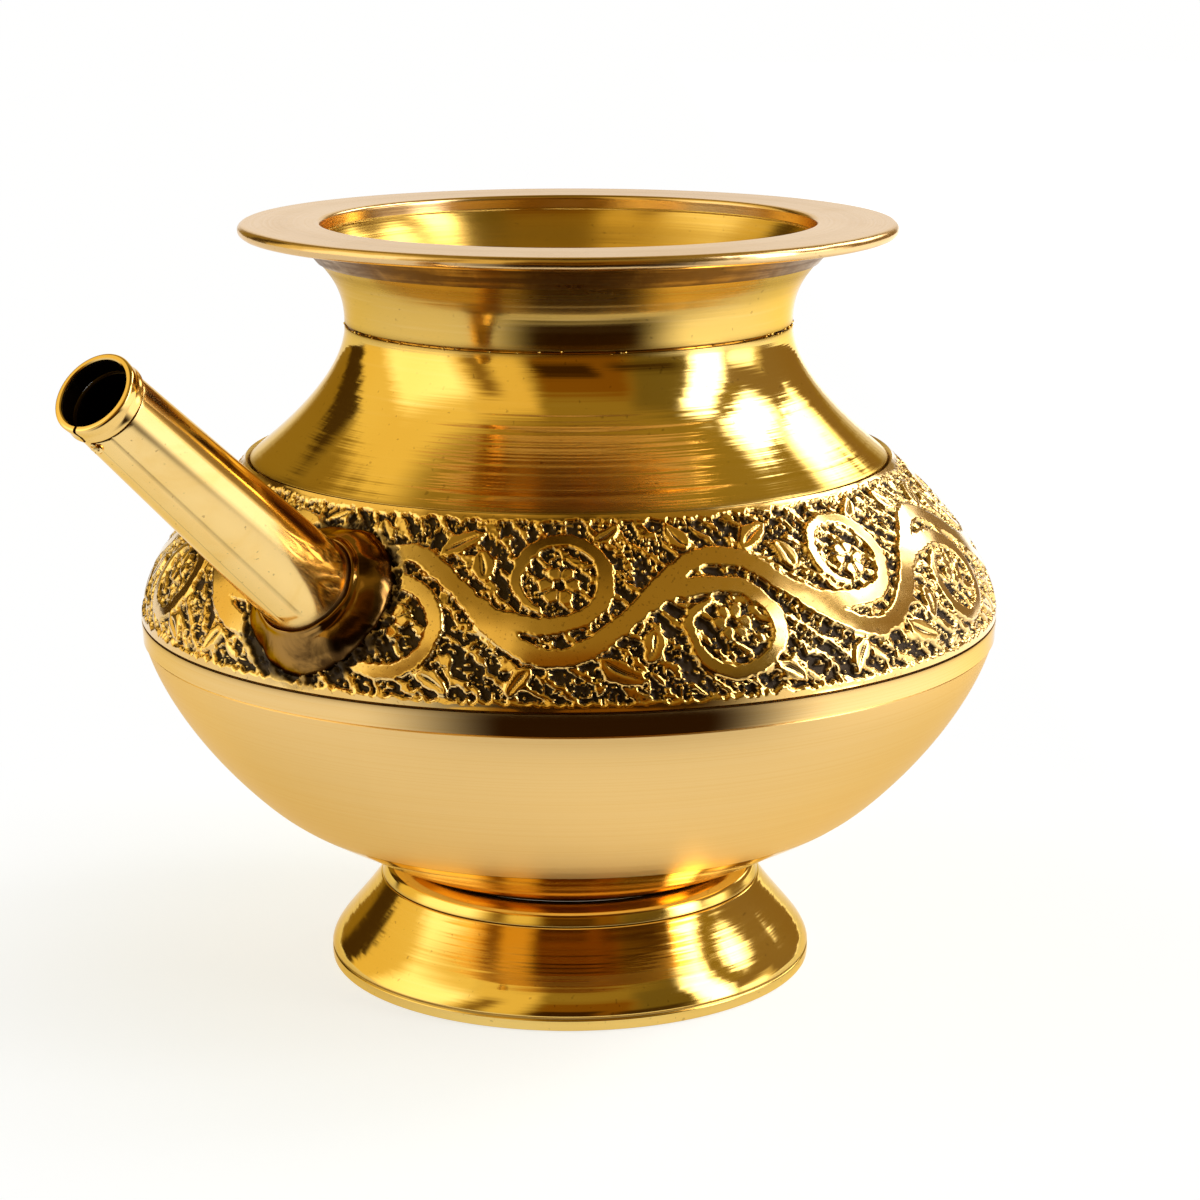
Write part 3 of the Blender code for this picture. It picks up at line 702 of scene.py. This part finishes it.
def makeSpoutTube():
    tipRadius, rootSize = spoutTube["tip"], spoutTube["root"]
    tip = spoutLength - lipLength - gap
    outer = respace(np.array([(tipRadius, tip), (rootSize, 0.0)]), 0.5)
    outer = np.concatenate([outer, [(rootSize, -bandWall - 0.8)]])
    inner = outer[::-1] - np.array([spoutTube["wall"], 0])
    loop = soften(np.concatenate([outer, inner]), 0.1)
    skin = turnedSkin(loop, 160 if fine else 80, step=0.6)
    verts = skin["verts"]
    height = verts[:, 2]
    reach = np.hypot(verts[:, 0], verts[:, 1])
    skinRadius = rootSize - np.clip(height, 0, None) * (rootSize - tipRadius) / tip
    inside = reach < skinRadius - 0.3
    rootLine = np.exp(-np.clip(height - collarTop, 0, None) / 0.4) * 0.6
    # Painted shade: the tube's inside and its tip face are fully dark; the fading line at the root is the
    # joint with the collar
    dirtAndShade = np.where(inside | (height > tip - 0.02), 1.0, rootLine)
    # A lapped seam runs along the underside, towards the camera's side, and fades out near the root
    turn = np.degrees(np.arctan2(verts[:, 1], verts[:, 0]))
    fade = smooth(4.0, 5.4, height)
    left, right = spoutTube["seam"]
    middle = (left + right) / 2
    strip = smooth(13.5, 11.0, abs(turn - middle)) * fade
    deepLine = np.exp(-(((turn - right) / 1.1) ** 2)) * fade
    thinLine = np.exp(-(((turn - left) / 1.1) ** 2)) * fade
    lift = np.where(inside, 0, spoutTube["seamRise"] * strip - 0.09 * deepLine - 0.05 * thinLine)
    verts[:, :2] *= (1 + lift / reach)[:, None]
    skin["dirtAndShade"] = np.maximum(dirtAndShade, np.where(inside, 0, 0.75 * deepLine + 0.4 * thinLine))
    dropAxes = np.array([[0, 0, 1], [0, 1, 0], [1, 0, 0]])
    drop = blob((4.35, 0.5, tip - 0.75), np.array([0.75, 0.6, 0.42]), dropAxes, 3, 10, 16)
    piece("spoutTube", [skin, drop], spoutBrass("spoutBrass", spoutTube["look"]), "spout_tube", spoutPlace)


spoutLip = {
    "bore": 3.75, "radius": 4.45, "frontEdge": 0.3, "backEdge": 0.2,
    "split": 5.0,                              # gap at the underside, in degrees
    "look": {**spoutTube["look"], "colour": (0.86, 0.57, 0.19), "rough": 0.1},
}


def makeSpoutLip():
    bore, radius = spoutLip["bore"], spoutLip["radius"]
    front, back = spoutLength, spoutLength - lipLength
    frontEdge, backEdge = spoutLip["frontEdge"], spoutLip["backEdge"]
    bevel = [(bore, front - 0.12), (bore + 0.12, front)]
    edge = arc((radius - frontEdge, front - frontEdge), frontEdge, 90, 0, 8)
    waist = [(4.42, front - 0.8), (4.36, front - 1.2), (4.4, back + 0.55)]
    heel = arc((radius - backEdge, back + backEdge), backEdge, 0, -90, 6)
    loop = np.concatenate([bevel, edge, waist, heel, [(bore, back)]])
    split = spoutLip["split"]
    skin = turnedSkin(loop, 150 if fine else 72, span=360.0 - split, start=split / 2, step=0.4)
    verts = skin["verts"]
    reach = np.hypot(verts[:, 0], verts[:, 1])
    # Painted shade: the bore darkens further in from the front; the back face is where it meets the tube
    throat = smooth(3.95, 3.8, reach) * smooth(front - 0.05, front - 0.3, verts[:, 2])
    skin["dirtAndShade"] = np.maximum(throat, verts[:, 2] < back + 0.05)
    piece("spoutLip", [skin], spoutBrass("lipBrass", spoutLip["look"]), "spout_lip", spoutPlace)


spoutCollar = {
    "bore": 5.44, "rim": 8.6,                  # radii
    "ring": 0.16, "lumps": 0.22,               # rolled edge against the tube, and unevenness
    "dark": (0.060, 0.028, 0.008), "worn": (0.36, 0.19, 0.05), "edge": (0.62, 0.42, 0.20),
}


def makeCollar():
    parts, rows = (220, 26) if fine else (96, 14)
    turn = np.linspace(0, 2 * math.pi, parts, endpoint=False)
    middle = 8                     # a mean radius, to unroll it
    grain = Grain(2 * math.pi * middle, 31)
    around, level = turn * middle, turn * 0
    rim = spoutCollar["rim"] + grain.swing(around, level, 5.0, 3) + grain.swing(around, level, 1.2) * 0.3
    share = np.linspace(0, 1, rows)[:, None]
    reach = spoutCollar["bore"] + (rim[None, :] - spoutCollar["bore"]) * share
    x, y = reach * np.cos(turn), reach * np.sin(turn)
    # Height of the band's skin above each point, found by halving
    low, high = np.full(x.shape, -6.0), np.full(x.shape, 6.0)
    for _ in range(36):
        z = (low + high) / 2
        potX = rootRadius + x * math.cos(slant) + z * math.sin(slant)
        potZ = rootHeight - x * math.sin(slant) + z * math.cos(slant)
        surface = np.interp(-potZ, -bandLine[:, 1], bandLine[:, 0])
        outside = np.hypot(potX, y) > surface
        high, low = np.where(outside, z, high), np.where(outside, low, z)
    seat = (low + high) / 2 - bandRelief["depth"] - 0.1
    # A narrow rolled ring against the tube, then a rounded fillet that runs out on the band
    ring = np.exp(-(((share - 0.10) / 0.09) ** 2)) * spoutCollar["ring"]
    bulge = 0.86 * np.sqrt(np.clip(1 - share**1.7, 0, 1)) + ring
    lumps = grain.swing(np.tile(around, (rows, 1)), reach * 1.6, 2.6, 2) * spoutCollar["lumps"]
    top = collarTop + grain.swing(around, level, 4.0, 2) * 0.5
    z = seat + (top[None, :] - seat[:1] * 0.75) * bulge + lumps * np.sin(math.pi * share) ** 0.7
    z = np.maximum(z, seat - 0.1)
    verts = np.stack([x, y, z], 2).reshape(-1, 3)
    dirtAndShade = np.repeat(share[:, 0], parts)
    skin = {"verts": verts, "faces": ringFaces(rows, parts), "along": np.zeros(len(verts)), "dirtAndShade": dirtAndShade}

    def paint(tree):
        place = tree.where()
        stain = place.noise(190.0, 5.0, 0.6, 1.0)
        scale = place.noise(700.0, 3.0, 0.6)
        wear = (stain + (1 - tree.value("dirtAndShade")) * 0.22).between(0.42, 0.72)
        tone = wear.blend(spoutCollar["dark"], spoutCollar["worn"])
        rough = wear.blend(0.20, 0.06) + scale * 0.04
        height = stain * 0.03 + scale * 0.003
        return {"Base Color": tone, "Roughness": rough, "Normal": tree.bump(height)}

    braze = metal("collarBraze", {"Metallic": 1.0, "Specular Tint": spoutCollar["edge"]}, paint)
    piece("spoutCollar", [skin], braze, "spout_collar", spoutPlace, 60)


# Ornament of the band: a vine scroll with leaves and rosettes, on chiselled ground
bandRadius = 45.5
bandRound = 2 * math.pi * bandRadius
bandLength = lengths(bandLine)[-1]

vine = {
    "waves": 8, "swing": 5.58, "width": 1.22,
    "rosette": np.array([9.3, 2.6]), "petals": 6, "petal": (1.38, 0.84),       # a petal's distance and radius
    "curl": [                                  # turns, and distance from the rosette
        (0, 9.3), (0.05, 7.0), (0.1, 5.4), (0.2, 4.4), (0.35, 4.6),
        (0.5, 5.3), (0.75, 5.6), (0.95, 4.7), (1.02, 4.1), (1.1, 3.3),
    ],
    "leaves": [                                # base, aim in degrees, length, half width
        ((13.4, -5.9), -40, 5.2, 1.35), ((6.5, -6.9), -135, 3.8, 1.05),
        ((0.9, 3.0), 98, 3.6, 1.3), ((13.2, 7.9), 25, 3.8, 1.05),
    ],
}
halfWave = bandRound / vine["waves"] / 2


def strokePoints(points, widths, spacing=0.3):
    points, widths = np.array(points, float), np.array(widths, float)
    far = lengths(points)
    at = np.arange(0, far[-1], spacing)
    return np.stack([np.interp(at, far, values) for values in (points[:, 0], points[:, 1], widths)], 1)


def leafPath(base, aim, length, share):
    bend = math.radians(aim) + (share - 0.5) * 0.3
    return np.array(base) + np.stack([np.cos(bend), np.sin(bend)], 1) * (share * length)[:, None]


def scrollDots():
    # Discs (x, y, radius) that make up half a wave of the vine, drawn with its crest up
    rosette = vine["rosette"]
    x = np.linspace(0, halfWave, 90)
    stem = np.stack([x, -vine["swing"] * np.sin(math.pi * x / halfWave)], 1)
    dots = [strokePoints(stem, np.full(90, vine["width"]))]
    t = np.linspace(0, 1.1, 150)
    reach = np.interp(t, *np.array(vine["curl"]).T)
    reach = np.convolve(np.pad(reach, 5, mode="edge"), np.ones(11) / 11, "valid")
    angle = math.radians(199) + 2 * math.pi * t
    spiral = rosette + np.stack([np.cos(angle), np.sin(angle)], 1) * reach[:, None]
    dots.append(strokePoints(spiral, np.interp(t, [0, 0.9, 1.1], [1.2, 0.75, 0.5])))
    away, radius = vine["petal"]
    for k in range(vine["petals"]):
        dots.append(np.array([[*(rosette + heading(360 / vine["petals"] * k) * away), radius]]))
    share = np.linspace(0, 1, 40)
    shape = np.interp(share, [0, 0.15, 0.4, 0.75, 1], [0.25, 0.66, 1, 0.68, 0.08])
    for base, aim, length, width in vine["leaves"]:
        dots.append(strokePoints(leafPath(base, aim, length, share), width * shape, 0.15))
    return np.concatenate(dots)


def veinDots():
    # Lines cut into the leaves and rosettes
    rosette = vine["rosette"]
    dots = [np.array([[*rosette, 0.42]])]
    for k in range(vine["petals"]):
        spoke = rosette + np.outer([0.75, 2.3], heading(360 / vine["petals"] * (k + 0.5)))
        dots.append(strokePoints(spoke, [0.06, 0.16], 0.12))
    share = np.linspace(0.12, 0.86, 30)
    shape = np.interp(share, [0.12, 0.3, 0.86], [0.05, 0.17, 0.04])
    for base, aim, length, _ in vine["leaves"]:
        dots.append(strokePoints(leafPath(base, aim, length, share), shape, 0.12))
    return np.concatenate(dots)


def scrollDistance(dots, x, y, stretch):
    # Signed distance to the drawing's edge, negative inside
    flatX, flatY, flatStretch = x.ravel(), y.ravel(), stretch.ravel()
    cell = np.floor(flatX / halfWave).astype(int)
    out = np.full(flatX.shape, 99.0)
    for shift in (-1, 0, 1):
        other = cell + shift
        cellX = flatX - other * halfWave
        cellY = np.where(other % 2 == 0, flatY, -flatY)
        near = np.nonzero((cellX > -4) & (cellX < halfWave + 4))[0]
        for block in np.array_split(near, max(1, len(near) // 20000)):
            across = (cellX[block, None] - dots[:, 0]) * flatStretch[block, None]
            down = cellY[block, None] - dots[:, 1]
            out[block] = np.minimum(out[block], (np.hypot(across, down) - dots[:, 2]).min(1))
    return out.reshape(x.shape)


bandRelief = {
    "depth": 0.65, "topBorder": 0.9, "lowBorder": 1.1, "teeth": 190, "ropes": 92,
    "clear": 9.8, "stain": (9.0, 11.8),        # distances from the spout's axis: no vine, dark ground
    "gold": (0.80, 0.49, 0.135), "wiped": (0.87, 0.60, 0.235), "darkColour": (0.062, 0.034, 0.012),
    "look": {**plainLook, "rough": 0.3},       # of its inner side
}


def bandSurface(profile, x, v):
    # Height of the ornament above the band's outline, and how much of its gold is wiped bare
    topBorder, lowBorder = bandRelief["topBorder"], bandRelief["lowBorder"]
    y = v - (bandLength + topBorder - lowBorder) / 2
    stretch = np.broadcast_to(profile[:, :1] / bandRadius, x.shape)
    grain = Grain(bandRound, 77)
    warpX = (x + grain.swing(x, y, 5.0, 2) * 0.7) % bandRound
    warpY = y + grain.swing(x, y, 5.0, 2) * 0.7
    ragged = grain.swing(x, y, 0.5, 2) * 0.36
    inside = scrollDistance(scrollDots(), warpX, warpY, stretch) + ragged
    veins = scrollDistance(veinDots(), warpX, warpY, stretch)
    angle = x / bandRadius
    skinX, skinY = profile[:, :1] * np.cos(angle), profile[:, :1] * np.sin(angle)
    skinPoints = np.stack([skinX, skinY, 0 * x + profile[:, 1:]], 2)
    away = spoutDistance(skinPoints.reshape(-1, 3))[0].reshape(x.shape)
    inside = np.maximum(inside, bandRelief["clear"] - away + ragged * 2)
    topEdge = v - topBorder + 0.15 - (grain.at(x, y, 0.8, 2) - 0.35)
    teeth = np.abs(((x / bandRound * bandRelief["teeth"] + 2.2 * grain.at(x, y * 0, 2.5, 2)) % 1) - 0.5) * 2
    lowEdge = (bandLength - v) - lowBorder + 0.4 - (1 - teeth) * (0.2 + 0.9 * grain.at(x, y * 0, 1.3)) * 0.7
    flat = np.minimum(inside, np.minimum(topEdge, lowEdge) + ragged * 0.4)
    plateau = smooth(0.14, -0.14, flat)
    # Ground: slanting ropes of beads, with thin curls and crumbs between them
    slanted = (x - y) / math.sqrt(2) + grain.swing(x, y, 2.8, 2) * 1.7
    ropes = 0.5 + 0.5 * np.cos(2 * math.pi * slanted / (bandRound / math.sqrt(2) / bandRelief["ropes"]))
    ropeTop = ropes * (0.45 + 0.95 * grain.at(x, y, 0.65, 2))
    thick = 1 - np.abs(2 * grain.at(x, y, 1.0, 2) - 1) / 0.2
    thin = 1 - np.abs(2 * grain.at(x, y, 0.7) - 1) / 0.24
    curls = np.maximum(thick, thin).clip(0, 1) * smooth(0.22, 0.5, grain.at(x, y, 1.4))
    crumbs = smooth(0.52, 0.82, grain.at(x, y, 0.42))
    island = smooth(0.62, 0.76, np.maximum(ropeTop, np.maximum(0.95 * curls, 0.8 * crumbs)))
    ground = -0.72 + island * (0.40 + 0.22 * grain.at(x, y, 1.7)) + grain.swing(x, y, 0.42) * 0.09
    dome = grain.swing(x, y, 5.0, 2) * 0.08 + grain.swing(x, y, 1.2) * 0.012
    burr = 0.035 * np.exp(-(((flat + 0.02) / 0.13) ** 2)) * (0.3 + 1.1 * grain.at(x, y, 0.55))
    notch = 0.22 * smooth(0.10, -0.10, veins) * plateau
    height = ground * (1 - plateau) + dome * plateau + burr - notch - 0.08
    gilt = np.maximum(plateau, island * (0.62 + 0.5 * grain.at(x, y, 2.4)))
    gilt *= 1 - 0.85 * smooth(0.06, -0.08, veins)
    near, clear = bandRelief["stain"]
    gilt *= 1 - 0.55 * smooth(clear, near, away) * (0.5 + grain.at(x, y, 1.7))
    edgeRow = np.minimum(v / 0.3, (bandLength - v) / 0.3).clip(0, 1)
    return height * edgeRow - 0.05 * (1 - edgeRow), gilt


def makeBand():
    cellSize = 0.18 if fine else 0.5
    columns = int(bandRound / cellSize / 4) * 4
    rows = int(bandLength / cellSize)
    far = np.linspace(0, bandLength, rows + 1)
    profile = np.stack([np.interp(far, lengths(bandLine), bandLine[:, k]) for k in (0, 1)], 1)
    normals = outward(profile)
    x, v = np.meshgrid(np.arange(columns) * bandRound / columns, far)
    height, gilt = bandSurface(profile, x, v)
    radius = profile[:, :1] + normals[:, :1] * height
    z = profile[:, 1:] + normals[:, 1:] * height
    grid = np.stack([radius * np.cos(x / bandRadius), radius * np.sin(x / bandRadius), z], 2)

    def paint(tree):
        place = tree.where()
        scratch = place.noise(420.0, 4.0, 0.65, 0.5)
        wipe = place.noise(45.0, 3.0, 0.6)
        pits = place.noise(2600.0, 1.0).between(0.64, 0.74)
        shine = (tree.value("gilt") + (scratch - 0.5) * 0.35).between(0.25, 0.72)
        polish = wipe.between(0.35, 0.65).blend(bandRelief["gold"], bandRelief["wiped"])
        polish = (pits * 0.35).blend(polish, brownPatina)
        stain = scratch.between(0.4, 0.7).blend(patina, bandRelief["darkColour"])
        rough = shine.blend(0.55, 0.13 + (scratch - 0.5) * 0.12)
        height = scratch * 0.02 * (1 - shine * 0.75) + wipe * 0.02
        tone, metallic = shine.blend(stain, polish), shine.blend(0.55, 1.0)
        return {"Base Color": tone, "Roughness": rough, "Metallic": metallic, "Normal": tree.bump(height)}

    chased = metal("bandBrass", {}, paint)
    wide = columns // 4
    for part in range(4):
        take = np.arange(part * wide, (part + 1) * wide + 1) % columns
        block = grid[:, take].reshape(-1, 3)
        index = np.arange(len(block)).reshape(rows + 1, wide + 1)
        quads = np.stack([index[:-1, :-1], index[1:, :-1], index[1:, 1:], index[:-1, 1:]], 2).reshape(-1, 4)
        away, deep = spoutDistance(block[quads].mean(1))
        quads = quads[~((away < 5.3) & (deep > -8))]           # hole for the spout
        skin = {"verts": block, "faces": quads.tolist(), "gilt": gilt[:, take].ravel()}
        piece("bandRelief%d" % (part + 1), [skin], chased, "engraved_band", sharp=180)
    lowLip, topLip = above(bowlLine, 40.5), below(shoulderLine, 64.6)
    lowerLap = [inset(bandLine, bowlLap)[-1:], inset(lowLip, bowlLap), inset(lowLip, bowlLap + lapWall)[::-1]]
    upperLap = [inset(topLip, neckWall)[::-1], inset(topLip, shoulderLap)]
    upperLap.append(inset(bandLine, bandRise + shoulderLap)[:1])
    ends = profile - 0.05 * normals
    outline = [ends[-1:], *lowerLap, inset(bandLine, bandWall)[::-1], *upperLap, ends[:1]]
    lining = turnedSkin(np.concatenate(outline), segments, closed=False, step=0.8)
    centres = np.array([lining["verts"][face].mean(0) for face in lining["faces"]])
    away, deep = spoutDistance(centres)
    lining["faces"] = [f for f, a, d in zip(lining["faces"], away, deep) if not (a < 5.6 and d > -8)]
    lining["dirtAndShade"] += 0.25
    piece("bandLining", [lining], turnedBrass("liningBrass", bandRelief["look"]), "engraved_band")


makeRim()
makeRimBraze()
makeNeck()
makeShoulder()
print("upper pieces made")
makeBand()
print("band made")
makeBowl()
makeFootRing()
makeFootFlare()
print("bowl and foot made")
makeSpoutTube()
makeSpoutLip()
makeCollar()
print("spout made")


# Studio: a pale sheet, two soft lamps and a warm, dim room on the camera's side
toCamera = np.array([*heading(cameraTurn), 0])
toRight = np.array([*heading(cameraTurn + 90), 0])
up = np.array([0, 0, 1.0])
axisFoot = np.array([axisX, 0, 0])
white = (1.0, 1.0, 0.995)

floorSheet = {                     # in metres, towards the camera and to the right
    "corners": [(-2.0, -1.6), (0.85, -1.6), (0.85, 1.6), (-2.0, 1.6)],
    "paper": (0.45, 0.475, 0.51), "glow": (0.93, 0.97, 1.0), "glowStrength": 0.63,
    "shadow": (0.034, 0.115),      # from the axis: shadow within, plain white beyond
    "paintedLightPool": (0.075, 0.17, 0.6),     # painted pool of light, brighter to the right, for the brass to mirror
    "dark": (0.025, 0.011, 0.002),             # painted shade on the floor in front of the pot, mirrored by the brass, not seen by the camera
    "darkLeft": (-50, -14), "darkRight": (64, 30), "darkFrom": (0.092, 0.118),
}


def makeFloor():
    corners = [tuple(axisFoot + toCamera * a + toRight * b) for a, b in floorSheet["corners"]]
    mesh = bpy.data.meshes.new("floorSheet")
    mesh.from_pydata(corners, [], [tuple(range(len(corners)))])
    floor = bpy.data.objects.new("floorSheet", mesh)
    bpy.context.scene.collection.objects.link(floor)
    material = bpy.data.materials.new("floorPaper")
    material.use_nodes = True
    tree = Wire(material.node_tree)
    nodes = material.node_tree.nodes
    nodes.remove(nodes["Principled BSDF"])
    direct = tree.ray("Is Camera Ray")
    seen = direct.lift(tree.ray("Is Glossy Ray")).lift(tree.ray("Is Transmission Ray"))
    place = tree.where() - tuple(axisFoot)
    ahead, side = place.dot(tuple(toCamera)), place.dot(tuple(toRight))
    away = place.length()
    turn = tree.calc("ARCTAN2", side, ahead) * (180 / math.pi)
    # Painted shade in front of the pot, for mirrored rays only
    front = turn.between(*floorSheet["darkLeft"]) * turn.between(*floorSheet["darkRight"])
    front = front * away.between(*floorSheet["darkFrom"]) * (1 - direct)
    # Painted pool of light: the glow is stronger to the right
    litFrom, litTo, litMore = floorSheet["paintedLightPool"]
    strength = seen * (1 + side.between(litFrom, litTo) * litMore)
    paper = tree.make("BsdfDiffuse", {}, {"Color": floorSheet["paper"]})
    dim = seen * floorSheet["glowStrength"]
    glow = tree.make("Emission", {}, {"Color": floorSheet["glow"], "Strength": dim})
    near = tree.make("AddShader", {}, {0: paper, 1: glow})
    colour = front.blend(white, floorSheet["dark"])
    far = tree.make("Emission", {}, {"Color": colour, "Strength": strength})
    surface = tree.make("MixShader", {}, {0: away.between(*floorSheet["shadow"]), 1: near, 2: far})
    tree.plug(nodes["Material Output"].inputs["Surface"], surface)
    mesh.materials.append(material)


softBoxes = {                      # angles from the camera, in degrees, and sizes in metres
    "softBoxLeft": {
        "azimuth": -88, "elevation": 40, "distance": 0.75, "width": 0.40, "height": 0.40,
        "power": 0.8, "colour": (1.0, 0.97, 0.92),
    },
    "softBoxRight": {
        "azimuth": 95, "elevation": 40, "distance": 0.75, "width": 0.50, "height": 0.40,
        "power": 1.2, "colour": (1.0, 0.98, 0.95),
    },
}


def makeLamp(name, box):
    lamp = bpy.data.lights.new(name, "AREA")
    lamp.shape = "RECTANGLE"
    lamp.size, lamp.size_y = box["width"], box["height"]
    lamp.energy = box["power"]
    lamp.color = box["colour"]
    thing = bpy.data.objects.new(name, lamp)
    bpy.context.scene.collection.objects.link(thing)
    ahead, aside = heading(box["azimuth"])
    level, rise = heading(box["elevation"])
    way = (toCamera * ahead + toRight * aside) * level + up * rise
    thing.location = axisFoot + up * 0.045 + way * box["distance"]             # aims at the pot's middle
    thing.rotation_euler = Vector(-way).to_track_quat("-Z", "Y").to_euler()
    thing.visible_glossy = False   # the room's own panels are what the brass mirrors


studioRoom = {                     # directions in degrees, azimuth from the camera and to the right
    "wall": (0.34, 0.24, 0.05), "ceiling": (0.055, 0.030, 0.004), "floor": (0.045, 0.020, 0.003),
    "backdrop": (0.98, 0.97, 0.94), "lamp": (7.6, 7.5, 7.3), "unevenness": 12,
    "ceilingFrom": (66, 82), "floorTop": (-6, -12), "floorSide": (70, 50),
    "backdropSide": (157, 167), "backdropTop": (44, 26),
    "panels": [                    # left, right, bottom, top, softness, lean, colour
        (24, 60, -90, 52, 6, 0.2, (0.19, 0.14, 0.032)),
        (-25, 25, -90, 45, 6, 0.15, (0.24, 0.105, 0.006)),
        (-18, 13, 6, 26, 5, 0.3, (0.045, 0.018, 0.001)),
        (20, 56, 6, 18, 6, 0.3, (0.055, 0.028, 0.004)),
        (-68, -26, -90, 57, 6, 0.12, (0.95, 0.72, 0.23)),
        (-58, -47, -90, 42, 5, 0.15, (0.30, 0.18, 0.04)),
        (-132, -64, -90, 58, 6, 0.1, (1.05, 0.84, 0.31)),
        (-108, -65, -90, 40, 7, 0.15, (1.75, 1.65, 1.2)),
        (-146, -129, -90, 30, 3, 0.1, (0.07, 0.04, 0.01)),
        (60, 152, -90, 27, 4, 0.1, (0.31, 0.21, 0.09)),
        (85, 108, -90, 15, 3, 0.1, (0.85, 0.70, 0.40)),
    ],
    "lamps": [                     # left, right, bottom, top, softness, lean, strength
        (66, 84, -3, 46, 5, 0.1, 1.0), (99, 120, 30, 47, 4, -0.3, 1.0),
        (128, 143, 18, 35, 4, -0.5, 1.0), (86, 106, -2, 12, 4, 0.0, 0.3),
    ],
}


def makeWorld():
    world = bpy.data.worlds.new("studioRoom")
    bpy.context.scene.world = world
    world.use_nodes = True
    tree = Wire(world.node_tree)
    way = tree.make("TexCoord", {}, {}, "Generated")
    facing, side, rise = way.dot(tuple(toCamera)), way.dot(tuple(toRight)), way.dot(tuple(up))
    turn = tree.calc("ARCTAN2", side, facing) * (180 / math.pi)
    tilt = tree.calc("ARCSINE", rise) * (180 / math.pi)
    uneven = tree.join(tilt * 0.42, turn * 0.05, 0.0).noise(1.0, 3.0, 0.6) - 0.5
    turn = turn + uneven * studioRoom["unevenness"]

    def panel(left, right, bottom, top, soft, lean):
        leaning = turn - (tilt - (bottom + top) / 2) * lean
        across = leaning.between(left - soft, left + soft) * leaning.between(right + soft, right - soft)
        return across * tilt.between(bottom - soft, bottom + soft) * tilt.between(top + soft, top - soft)

    aside = tree.calc("ABSOLUTE", turn)
    room = tilt.between(*studioRoom["ceilingFrom"]).blend(studioRoom["wall"], studioRoom["ceiling"])
    for *shape, colour in studioRoom["panels"]:
        room = panel(*shape).blend(room, colour)
    hot = 0.0
    for *shape, strength in studioRoom["lamps"]:
        hot = (panel(*shape) * strength).lift(hot)
    room = hot.blend(room, studioRoom["lamp"])
    behind = aside.between(*studioRoom["backdropSide"]) * tilt.between(*studioRoom["backdropTop"])
    room = behind.blend(room, studioRoom["backdrop"])
    under = tilt.between(*studioRoom["floorTop"]) * aside.between(*studioRoom["floorSide"])
    room = under.blend(room, studioRoom["floor"])
    mirrored = tree.ray("Is Glossy Ray").lift(tree.ray("Is Transmission Ray"))
    seen = tree.ray("Is Camera Ray").lift(mirrored * behind)
    tree.plug(world.node_tree.nodes["Background"].inputs["Color"], seen.blend(room, white))


makeFloor()
for name, box in softBoxes.items():
    makeLamp(name, box)
makeWorld()
print("studio made")

# Camera: stands 349 mm from the pot's axis and looks 13 degrees down
view = {"sensor": 36.0, "lens": 89.9, "distance": 0.3486, "height": 0.1254, "pitch": 13.22, "swing": -0.6}
lens = bpy.data.cameras.new("camera")
lens.sensor_width = view["sensor"]
lens.lens = view["lens"]
camera = bpy.data.objects.new("camera", lens)
bpy.context.scene.collection.objects.link(camera)
level, drop = heading(view["pitch"])
aim = Vector((*(heading(cameraTurn + 180 + view["swing"]) * level), -drop))
camera.location = axisFoot + toCamera * view["distance"] + up * view["height"]
camera.rotation_euler = aim.to_track_quat("-Z", "Y").to_euler()
bpy.context.scene.camera = camera
bpy.context.scene.view_settings.view_transform = "Standard"

print("scene ready")
